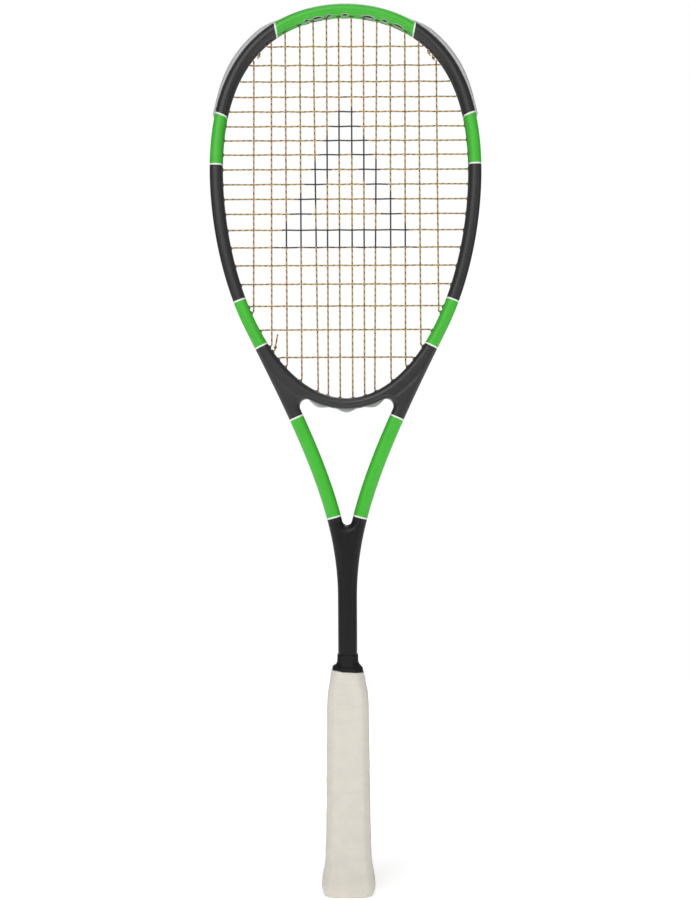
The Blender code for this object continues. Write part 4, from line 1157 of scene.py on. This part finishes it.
# Finishes.
class Finish:
    """A material under construction: it adds nodes and links them to the shader."""

    def __init__(self, name, **sockets):
        self.material = bpy.data.materials.new(name)
        self.material.use_nodes = True
        self.tree = self.material.node_tree
        self.shader = self.tree.nodes["Principled BSDF"]
        for key, value in sockets.items():
            self.feed(self.shader.inputs[key.replace("_", " ")], value)

    def feed(self, socket, value):
        if isinstance(value, bpy.types.NodeSocket):
            self.tree.links.new(value, socket)
        else:
            socket.default_value = value

    def node(self, kind, inputs, **settings):
        made = self.tree.nodes.new(kind)
        for key, value in settings.items():
            setattr(made, key, value)
        for key, value in inputs.items():
            self.feed(made.inputs[key], value)
        return made

    def maths(self, operation, *values):
        return self.node("ShaderNodeMath", dict(enumerate(values)), operation=operation).outputs[0]

    def place(self):
        """The point in the racket's own space."""
        return self.node("ShaderNodeTexCoord", {}).outputs["Object"]

    def noise(self, scale, detail=3.0, roughness=0.5, stretch=None):
        point = self.place()
        if stretch:
            point = self.node("ShaderNodeMapping", {"Vector": point, "Scale": stretch}).outputs[0]
        made = self.node("ShaderNodeTexNoise", {"Vector": point, "Scale": scale, "Detail": detail,
                                                "Roughness": roughness})
        return made.outputs["Fac"]

    def cells(self, scale):
        made = self.node("ShaderNodeTexVoronoi", {"Vector": self.place(), "Scale": scale})
        return made.outputs["Distance"]

    def mixed(self, part, first, second):
        made = self.node("ShaderNodeMix", {0: part, 6: first, 7: second}, data_type="RGBA")
        return made.outputs[2]

    def spread(self, value, low, high, to_low, to_high):
        made = self.node("ShaderNodeMapRange", {"Value": value, "From Min": low, "From Max": high,
                                                "To Min": to_low, "To Max": to_high})
        return made.outputs[0]

    def bump(self, height, distance, strength=1.0):
        made = self.node("ShaderNodeBump", {"Height": height, "Distance": distance, "Strength": strength})
        self.feed(self.shader.inputs["Normal"], made.outputs[0])

    def paint(self, colour_socket):
        self.feed(self.shader.inputs["Base Color"], colour_socket)

    def dull(self, roughness_socket):
        self.feed(self.shader.inputs["Roughness"], roughness_socket)


def solid_colour(value, factor=1.0):
    return tuple(min(part * factor, 1) for part in value) + (1,)


def outer_station(height, low, high):
    """The station on the right outer edge at this height."""
    return solved(lambda station: outer_edge(station).y - height, low, high)


def band_end(station, way, lean):
    """(point on the outer edge, direction into the band), turned by lean from square to the rim."""
    normal = outward(outer_edge, station)
    along = Vector((-normal.y, normal.x)) * way
    return outer_edge(station), Matrix.Rotation(lean, 2) @ along


def band_ends(paint):
    """Each painted band on the right: its two ends, (point, direction into the band), and half width."""
    bands = []
    for top, bottom, reach, low, high, lean in (
            (paint.side_top, paint.side_bottom, 12 * MM, 1.2, 1.9, paint.side_lean),
            (paint.shoulder_top, paint.shoulder_bottom, 13 * MM, 0.8, 1.4, 0),
            (paint.arm_top, paint.arm_bottom, 16 * MM, 0.05, 0.98, 0)):
        upper, lower = outer_station(top, low, high), outer_station(bottom, low, high)
        bands.append(([band_end(upper, -1, lean), band_end(lower, 1, 0)], reach))
    crown_station = solved(lambda station: paint.crown_reach - outer_edge(station).x, 1.6, 2.0)
    below_crown = Vector((0, outer_edge(CROWN_STATION).y - 45 * MM))
    crown = [band_end(crown_station, 1, paint.crown_lean), (below_crown, Vector((0, 1)))]
    bands.append((crown, None))
    return bands


def band_depth(finish, paint):
    """How far inside the nearest band a point lies: above 0 in a band, below 0 outside it."""
    apart = finish.node("ShaderNodeSeparateXYZ", {0: finish.place()})
    folded = finish.node("ShaderNodeCombineXYZ", {0: finish.maths("ABSOLUTE", apart.outputs[0]), 1: 0.0,
                                                  2: apart.outputs[2]}).outputs[0]

    def reached(point, way):
        dot = finish.node("ShaderNodeVectorMath", {0: folded, 1: (way.x, 0, way.y)}, operation="DOT_PRODUCT")
        return finish.maths("SUBTRACT", dot.outputs["Value"], point.dot(way))

    deepest = None
    for ends, half_width in band_ends(paint):
        (first, way), (second, back) = ends
        depth = finish.maths("MINIMUM", reached(first, way), reached(second, back))
        if half_width:
            chord = (second - first).normalized()
            across = Vector((chord.y, -chord.x))
            sideways = finish.maths("ABSOLUTE", reached((first + second) / 2, across))
            depth = finish.maths("MINIMUM", depth, finish.maths("SUBTRACT", half_width, sideways))
        deepest = depth if deepest is None else finish.maths("MAXIMUM", deepest, depth)
    return deepest


def frame_finish(paint):
    """Satin lacquer in charcoal and black with green bands, pinstripes and key lines."""
    finish = Finish("painted_graphite", Coat_Weight=0.08, Coat_Roughness=0.25)
    depth = band_depth(finish, paint)
    edge = 0.12 * MM

    def past(limit):
        """1 where the depth is above the limit, with a fine soft edge."""
        return finish.spread(depth, limit - edge, limit + edge, 0.0, 1.0)

    apart = finish.node("ShaderNodeSeparateXYZ", {0: finish.place()})
    head = finish.spread(apart.outputs[2], paint.arm_bottom - 4 * MM, paint.arm_bottom + 6 * MM, 0.0, 1.0)
    sheen = finish.maths("ADD", finish.maths("MULTIPLY", head, 0.16), 0.16)
    finish.feed(finish.shader.inputs["Specular IOR Level"], sheen)
    fleck = finish.noise(900, 4, 0.6)
    mottle = finish.noise(38, 3, 0.55)
    dark = finish.mixed(head, solid_colour(paint.shaft_black), solid_colour(paint.charcoal))
    dark = finish.mixed(finish.spread(fleck, 0.35, 0.75, 0.0, 0.16), dark, solid_colour(paint.charcoal, 1.6))
    green = finish.mixed(finish.spread(mottle, 0.3, 0.7, 0.0, 1.0), solid_colour(paint.green, 0.94),
                         solid_colour(paint.green, 1.05))
    outside = -paint.pinstripe_width - paint.keyline_width
    shade = finish.mixed(past(outside), dark, solid_colour(paint.keyline))
    shade = finish.mixed(past(-paint.pinstripe_width), shade, solid_colour(paint.pinstripe))
    finish.paint(finish.mixed(past(0.0), shade, green))
    smudge = finish.spread(mottle, 0.25, 0.75, paint.gloss - 0.05, paint.gloss + 0.08)
    finish.dull(finish.maths("ADD", smudge, finish.spread(fleck, 0.3, 0.7, -0.02, 0.03)))
    finish.bump(finish.noise(620, 2, 0.5), 0.03 * MM, 0.6)
    return finish.material


def string_finish(name, light, dark, strings):
    """A twisted string: a light wrap, darker plies that turn round it, and the stencilled triangle's ink."""
    finish = Finish(name, Roughness=0.42, Specular_IOR_Level=0.4)
    wrap = finish.node("ShaderNodeUVMap", {}, uv_map="wrap").outputs[0]
    apart = finish.node("ShaderNodeSeparateXYZ", {0: wrap})
    drift = finish.spread(finish.noise(60, 2), 0.3, 0.7, -0.12, 0.12)
    turn = finish.maths("ADD", finish.maths("ADD", apart.outputs[0], apart.outputs[1]), drift)
    phase = finish.maths("FRACT", turn)
    rise = finish.spread(phase, 0.02, 0.12, 0.0, 1.0)
    fall = finish.spread(phase, 0.40, 0.52, 1.0, 0.0)
    ply = finish.maths("MULTIPLY", rise, fall)
    ply = finish.maths("MULTIPLY", ply, finish.spread(finish.noise(140, 2), 0.3, 0.6, 0.62, 1.0))
    threads = finish.maths("SINE", finish.maths("MULTIPLY", turn, math.tau * 7))
    shade = finish.mixed(ply, solid_colour(light), solid_colour(dark))
    shade = finish.mixed(finish.spread(threads, -1.0, 1.0, 0.0, 0.16), shade, solid_colour(dark))
    finish.paint(finish.mixed(stencil(finish, strings), shade, solid_colour(strings.ink)))
    finish.bump(threads, 0.03 * MM, 0.7)
    return finish.material


def stencil(finish, strings):
    """1 on the outline of a plain upright triangle in the middle of the bed."""
    apart = finish.node("ShaderNodeSeparateXYZ", {0: finish.place()})
    across = finish.maths("ABSOLUTE", apart.outputs[0])
    low = OPENING_CENTRE + 8 * MM - strings.stencil_height / 3
    up = finish.maths("SUBTRACT", apart.outputs[2], low)
    slope = finish.maths("ADD", finish.maths("MULTIPLY", across, math.sin(STENCIL_SLOPE)),
                         finish.maths("MULTIPLY", up, math.cos(STENCIL_SLOPE)))
    side = finish.maths("SUBTRACT", strings.stencil_height * math.cos(STENCIL_SLOPE), slope)
    inside = finish.maths("MINIMUM", side, up)
    worn = finish.maths("ADD", inside, finish.spread(finish.noise(260, 2), 0.3, 0.7, -0.8 * MM, 0.8 * MM))
    outer = finish.spread(worn, -0.2 * MM, 0.2 * MM, 0.0, 1.0)
    inner = finish.spread(worn, strings.stencil_band - 0.2 * MM, strings.stencil_band + 0.2 * MM, 1.0, 0.0)
    return finish.maths("MULTIPLY", finish.maths("MULTIPLY", outer, inner), 0.93)


def moulded_finish(name, base, roughness, lightest=1.12, grain=420.0, depth=0.02 * MM, **sockets):
    """Moulded plastic or rubber: a fine moulded grain, faint mottling and uneven gloss."""
    finish = Finish(name, **sockets)
    mottle = finish.noise(55, 4, 0.6)
    part = finish.spread(mottle, 0.3, 0.7, 0.0, 1.0)
    finish.paint(finish.mixed(part, solid_colour(base, 0.92), solid_colour(base, lightest)))
    finish.dull(finish.spread(mottle, 0.25, 0.75, roughness - 0.06, roughness + 0.06))
    finish.bump(finish.noise(grain, 2, 0.5), depth, 0.6)
    return finish.material


def grip_finish(grip):
    """Soft polyurethane with fine pores, painted shade in the pores, and a slightly greyer tone in random
    mottles and short streaks.
    """
    finish = Finish("grip_polyurethane", Specular_IOR_Level=0.25, Sheen_Weight=0.12, Sheen_Roughness=0.5)
    pores = finish.cells(1300.0)
    mottle = finish.noise(70, 4, 0.6)
    streak = finish.noise(90, 3, 0.5, stretch=(0.25, 0.25, 2.2))
    part = finish.spread(mottle, 0.35, 0.7, 0.0, 0.55)
    shade = finish.mixed(part, solid_colour(grip.leather), solid_colour(grip.worn))
    shade = finish.mixed(finish.spread(streak, 0.55, 0.8, 0.0, 0.35), shade, solid_colour(grip.worn))
    # Painted shade: darker towards each pore's middle, where the bump sinks it.
    painted_pore_shade = finish.spread(pores, 0.0, 0.25, 0.35, 0.0)
    finish.paint(finish.mixed(painted_pore_shade, shade, solid_colour(grip.worn, 0.9)))
    finish.dull(finish.spread(mottle, 0.3, 0.7, 0.62, 0.78))
    finish.bump(finish.maths("ADD", finish.maths("MULTIPLY", pores, 0.5), streak), 0.07 * MM, 0.55)
    return finish.material


def foam_finish(base):
    finish = Finish("pallet_foam", Roughness=0.85)
    # Painted shade: darker towards each cell's middle, where the bump sinks a pore.
    cells = finish.cells(900.0)
    part = finish.spread(cells, 0.0, 0.5, 0.0, 1.0)
    finish.paint(finish.mixed(part, solid_colour(base, 0.7), solid_colour(base)))
    finish.bump(cells, 0.15 * MM)
    return finish.material


def steel_finish(base):
    finish = Finish("staple_steel", Metallic=1.0)
    brushed = finish.noise(500, 3, 0.6, stretch=(1, 1, 12))
    finish.paint(finish.mixed(finish.spread(brushed, 0.3, 0.7, 0.0, 1.0), solid_colour(base, 0.85),
                              solid_colour(base)))
    finish.dull(finish.spread(brushed, 0.3, 0.7, 0.22, 0.38))
    finish.bump(brushed, 0.01 * MM, 0.5)
    return finish.material


def settle(obj, body, slot, *nodes):
    """Makes the piece move with its body and hides the solid nodes that it stands for. Its slot is not used.
    """
    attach(obj, body)
    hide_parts(*nodes)


# Operators.
class RACKET_OT_studio(bpy.types.Operator):
    """Lay the plain floor, hang the soft lights and place the camera"""
    bl_idname = "racket.studio"
    bl_label = "Studio"

    def execute(self, context):
        studio = context.scene.racket.studio
        self.floor(context, studio)
        self.surround(context, studio)
        for lamp in LAMPS:
            self.lamp(context, *lamp)
        self.camera(context, studio)
        context.scene.view_settings.view_transform = "Standard"
        return {"FINISHED"}

    def floor(self, context, studio):
        mesh = bmesh.new()
        bmesh.ops.create_grid(mesh, x_segments=2, y_segments=2, size=1.3)
        data = bpy.data.meshes.new("studio_floor")
        mesh.to_mesh(data)
        mesh.free()
        obj = bpy.data.objects.new("studio_floor", data)
        obj.location.z = -0.1 * MM
        context.scene.collection.objects.link(obj)
        finish = Finish("floor_paper", Roughness=0.9, Specular_IOR_Level=0.0, Emission_Color=WHITE)
        # Painted light: the floor glows, from half strength near the racket to full strength 0.9 m out, so it
        # reads plain white with only a faint shadow.
        away = finish.node("ShaderNodeVectorMath", {0: finish.place()}, operation="LENGTH").outputs["Value"]
        finish.feed(finish.shader.inputs["Emission Strength"], finish.spread(away, 0.05, 0.9, 0.45, 1.0))
        paper = finish.noise(4, 2, 0.5)
        finish.paint(finish.mixed(paper, solid_colour(studio.floor), solid_colour(studio.floor, 1.01)))
        data.materials.append(finish.material)

    def surround(self, context, studio):
        world = bpy.data.worlds.new("studio_surround")
        context.scene.world = world
        world.use_nodes = True
        tree = world.node_tree
        tree.nodes.clear()
        seen = tree.nodes.new("ShaderNodeLightPath").outputs["Is Camera Ray"]
        bright, soft = (tree.nodes.new("ShaderNodeBackground") for _ in range(2))
        for background, strength in ((soft, studio.surround), (bright, 1.0)):
            background.inputs["Color"].default_value = WHITE
            background.inputs["Strength"].default_value = strength
        mixer = tree.nodes.new("ShaderNodeMixShader")
        output = tree.nodes.new("ShaderNodeOutputWorld")
        for i, source in enumerate((seen, soft.outputs[0], bright.outputs[0])):
            tree.links.new(source, mixer.inputs[i])
        tree.links.new(mixer.outputs[0], output.inputs["Surface"])

    def lamp(self, context, name, place, aim, size, power):
        data = bpy.data.lights.new(name, "AREA")
        data.shape = "SQUARE"
        data.size = size
        data.energy = power
        obj = bpy.data.objects.new(name, data)
        obj.location = place
        obj.rotation_euler = (Vector(aim) - Vector(place)).to_track_quat("-Z", "Y").to_euler()
        context.scene.collection.objects.link(obj)

    def camera(self, context, studio):
        data = bpy.data.cameras.new("studio_camera")
        data.sensor_width = 36
        data.lens = studio.lens
        data.clip_end = 50
        obj = bpy.data.objects.new("studio_camera", data)
        obj.location = (-1.4 * MM, -studio.distance, studio.height)
        obj.rotation_euler = (QUARTER, studio.roll, 0)
        context.scene.collection.objects.link(obj)
        context.scene.camera = obj


class RACKET_OT_frame(bpy.types.Operator):
    """Build the painted one-piece frame: hoop, bridge, throat arms and shaft"""
    bl_idname = "racket.frame"
    bl_label = "Frame"

    def execute(self, context):
        low = moved_along(outer_edge, side_strip_end(), -GAP)
        reach = moved_along(bridge_edge, throat_strip_end(), GAP)
        runs = [(hole.mouth - hole.direction * WALL, hole.mouth + hole.direction * (hole.length + WALL))
                for hole in HOLES.values()]
        cutters = [
            band("rim_groove", outer_edge, low, FULL_STATION - low, 2 * HOOP_STEPS + 40, groove_section),
            band("bridge_groove", bridge_edge, -math.pi - reach, reach, 60, groove_section),
            rods("string_holes", runs, HOLE_RADIUS),
            *web_valleys()]
        shell = carved("painted_frame", frame_slab(), cutters)
        obj = piece("painted_frame", shell, frame_finish(context.scene.racket.paint), sharp=38)
        weighted(obj)
        settle(obj, "racket", "painted_graphite", "frame")
        return {"FINISHED"}


class RACKET_OT_bumper_guard(bpy.types.Operator):
    """Build the grey bumper guard over the head, with its grommets"""
    bl_idname = "racket.bumper_guard"
    bl_label = "Bumper guard"

    def execute(self, context):
        fittings = context.scene.racket.fittings
        finish = moulded_finish("bumper_plastic", fittings.guard, 0.55, lightest=1.04, depth=0.01 * MM)
        end = bumper_end()
        obj = strip_piece("moulded_bumper", outer_edge, end, FULL_STATION - end, STRIP_STEPS, bumper_section,
                          holes_of(in_bumper), finish, moulded_finish("guard_barrels_painted_shade", fittings.painted_shade_lips, 0.5))
        settle(obj, "racket", "bumper_plastic", "bumper_guard")
        rim = moulded_finish("window_rim", fittings.nylon, 0.45)
        # The windows' near-black middles are painted shadow.
        windows = crown_slots(rim, moulded_finish("window_painted_shadow", fittings.hollow, 0.8))
        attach(windows, "racket")
        return {"FINISHED"}


class RACKET_OT_grommet_strips(bpy.types.Operator):
    """Build the side and throat grommet strips in milky nylon"""
    bl_idname = "racket.grommet_strips"
    bl_label = "Grommet strips"

    def execute(self, context):
        fittings = context.scene.racket.fittings
        finish = moulded_finish("grommet_nylon", fittings.nylon, 0.38, Subsurface_Weight=0.25,
                                Subsurface_Scale=1.0 * MM)
        # Painted shade: the barrels' lips take this darker copy of the nylon.
        painted_shade_lips = moulded_finish("barrel_nylon_painted_shade", fittings.painted_shade_lips, 0.45)
        low = side_strip_end()
        high = moved_along(outer_edge, bumper_end(), -GAP)
        for side, name in ((1, "right"), (-1, "left")):
            start, end = (low, high) if side == 1 else (FULL_STATION - low, FULL_STATION - high)
            lined = holes_of(lambda key: key[2] == side and not in_bumper(key) and not in_bridge(key))
            obj = strip_piece(f"side_grommets_{name}", outer_edge, start, end, STRIP_STEPS, strip_section,
                              lined, finish, painted_shade_lips)
            settle(obj, "racket", "grommet_nylon", f"grommet_strip_{name}")
        reach = throat_strip_end()
        obj = strip_piece("throat_grommets", bridge_edge, -math.pi - reach, reach, 90, throat_section,
                          holes_of(in_bridge), finish, painted_shade_lips)
        settle(obj, "racket", "grommet_nylon", "grommet_strip_throat")
        return {"FINISHED"}


class RACKET_OT_strings(bpy.types.Operator):
    """String the racket: the main string and the cross string, woven, looped and tied"""
    bl_idname = "racket.strings"
    bl_label = "Strings"

    def execute(self, context):
        strings = context.scene.racket.strings
        mains = string_path(("main start", 0, -1), main_runs(strings.main_wave), ("main end", 0, 1), -LANE,
                            strings.gauge)
        crosses = string_path(("cross start", 0, 1), cross_runs(strings.cross_wave), ("cross end", 0, -1),
                              LANE, strings.gauge)
        for kind, name, stations, light, dark in (
                ("main_string", "woven_mains", mains, strings.main_light, strings.main_dark),
                ("cross_string", "woven_crosses", crosses, strings.cross_light, strings.cross_dark)):
            wrap = string_finish(f"{kind}_wrap", light, dark, strings)
            settle(string_tube(name, stations, strings.lay, wrap), "racket", "string", kind)
        return {"FINISHED"}


class RACKET_OT_grip(bpy.types.Operator):
    """Wind the cushioned grip round the pallet and bind its end with tape"""
    bl_idname = "racket.grip"
    bl_label = "Grip and tape"

    def execute(self, context):
        racket = context.scene.racket
        self.wrap(racket.grip)
        self.tape(racket.fittings)
        return {"FINISHED"}

    def wrap(self, settings):
        low = BUTT_STATIONS[0][0] * MM
        rings = []
        for i in range(GRIP_STEPS + 1):
            height = low + (GRIP_LENGTH - 0.5 * MM - low) * i / GRIP_STEPS
            ring = section_ring(grip_section(height), 2.6 * MM, height)
            turns = [k / len(ring) for k in range(len(ring))]
            rings.append(moved_out(ring, [grip_relief(height, turn, settings) for turn in turns]))
        top = rings[-1]
        bound = section_ring(grown(NECK_BORE, 2.4 * MM), 1.6 * MM, GRIP_LENGTH)
        for part in (0.2, 0.45, 0.7, 1.0):
            rings.append([a.lerp(b, part) + Vector((0, 0, 0.25 * MM * math.sin(part * math.pi)))
                          for a, b in zip(top, bound)])
        neck_top = GRIP_LENGTH + BOUND_END_HEIGHT
        rings += handle_rings([(2.4 * MM, neck_top - 0.2 * MM), (2.2 * MM, neck_top), (1.2 * MM, neck_top),
                               (1.2 * MM, GRIP_LENGTH - 2 * MM)], 1.6 * MM)
        for i in range(BORE_STEPS, -1, -1):
            height = low + (GRIP_LENGTH - 3 * MM - low) * i / BORE_STEPS
            rings.append(section_ring(grown(grip_section(height), -GRIP_THICKNESS), 2 * MM, height))

        def fade(height):
            """The wound edge leans, and the bound neck above it doesn't."""
            bound = height >= GRIP_LENGTH + 0.5 * MM
            return 0 if bound else blend(height, GRIP_LENGTH - LEAN_REACH, GRIP_LENGTH - 1 * MM)

        data = skinned("wound_grip", leaned(rings, BAND_LEAN, BAND_LIFT, fade), closed=True)
        obj = piece("wound_grip", data, grip_finish(settings), sharp=50)
        settle(obj, "racket", "grip", "grip_wrap")

    def tape(self, fittings):
        low = GRIP_LENGTH + GAP
        profile = rounded_polygon([(2.5 * MM, low), (3.2 * MM, low), (3.2 * MM, low + TAPE_HEIGHT),
                                   (2.5 * MM, low + TAPE_HEIGHT)], 0.15 * MM)
        rings = leaned(handle_rings(profile, 1.6 * MM), BAND_LEAN * TAPE_LEAN_SHARE, 0, lambda height: 1)
        finish = moulded_finish("finishing_tape", fittings.tape, 0.5, grain=900.0, Specular_IOR_Level=0.25)
        obj = piece("bound_tape", skinned("bound_tape", rings, closed=True), finish)
        settle(obj, "racket", "tape", "finishing_tape")


class RACKET_OT_collar(bpy.types.Operator):
    """Mould the rubber collar that slides down the shaft over the grip's bound end"""
    bl_idname = "racket.collar"
    bl_label = "Collar"

    def execute(self, context):
        low = GRIP_LENGTH + GAP
        top = low + COLLAR_HEIGHT
        skirt_top = GRIP_LENGTH + BOUND_END_HEIGHT
        sleeve_low = skirt_top + COLLAR_FLARE
        profile = rounded_polygon([
            (4.3 * MM, low), (4.0 * MM, skirt_top - 0.6 * MM), (1.2 * MM, sleeve_low),
            (0.6 * MM, sleeve_low + 1.8 * MM), (0.35 * MM, top), (-0.15 * MM, top),
            (-0.15 * MM, sleeve_low - 0.4 * MM), (3.4 * MM, skirt_top - 1.2 * MM),
            (3.5 * MM, low)], 0.6 * MM, 5)
        rings = leaned(handle_rings(profile, 1.8 * MM), BAND_LEAN, BAND_LIFT,
                       lambda height: 1 - blend(height, low, sleeve_low))
        rubber = context.scene.racket.fittings.rubber
        finish = moulded_finish("collar_rubber", rubber, 0.55, grain=700.0, Specular_IOR_Level=0.18)
        obj = piece("rubber_collar", skinned("rubber_collar", rings, closed=True), finish, sharp=60)
        settle(obj, "collar", "collar_rubber", "collar")
        return {"FINISHED"}


class RACKET_OT_handle_core(bpy.types.Operator):
    """Give the pallet, butt cap, plug and staples their finishes"""
    bl_idname = "racket.handle_core"
    bl_label = "Handle core"

    def execute(self, context):
        fittings = context.scene.racket.fittings
        steel = steel_finish(fittings.steel)
        finishes = {
            "handle_pallet": foam_finish(fittings.foam),
            "butt_cap": moulded_finish("cap_plastic", fittings.cap, 0.5),
            "butt_plug": moulded_finish("plug_plastic", fittings.plug, 0.4),
            "cap_staple_left": steel,
            "cap_staple_right": steel,
        }
        for name, finish in finishes.items():
            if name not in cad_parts:
                raise RuntimeError(f"the solid model has no {name}")
            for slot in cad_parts[name].material_slots:
                slot.material = finish
        return {"FINISHED"}


OPERATORS = (RACKET_OT_studio, RACKET_OT_frame, RACKET_OT_bumper_guard, RACKET_OT_grommet_strips,
             RACKET_OT_strings, RACKET_OT_grip, RACKET_OT_collar, RACKET_OT_handle_core)


class RACKET_PT_maker(bpy.types.Panel):
    """Lists the racket's pieces in the order that they are made"""
    bl_idname = "RACKET_PT_maker"
    bl_label = "Squash Racket"
    bl_space_type = "VIEW_3D"
    bl_region_type = "UI"
    bl_category = "Racket"

    def draw(self, context):
        racket = context.scene.racket
        for operator in OPERATORS:
            self.layout.operator(operator.bl_idname)
        for group in (racket.paint, racket.strings, racket.fittings, racket.grip, racket.studio):
            box = self.layout.box()
            for key in group.bl_rna.properties.keys():
                if key not in ("rna_type", "name"):
                    box.prop(group, key)


CLASSES = (RacketPaint, RacketStrings, RacketFittings, RacketGrip, RacketStudio, RacketSettings, *OPERATORS,
           RACKET_PT_maker)


def register():
    for cls in CLASSES:
        bpy.utils.register_class(cls)
    bpy.types.Scene.racket = bpy.props.PointerProperty(type=RacketSettings)


def unregister():
    del bpy.types.Scene.racket
    for cls in reversed(CLASSES):
        bpy.utils.unregister_class(cls)


def main():
    register()
    for operator in OPERATORS:
        made = getattr(bpy.ops.racket, operator.bl_idname.split(".")[1])()
        if made != {"FINISHED"}:
            raise RuntimeError(f"{operator.bl_label} wasn't made")
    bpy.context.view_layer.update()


if __name__ == "__main__":
    main()
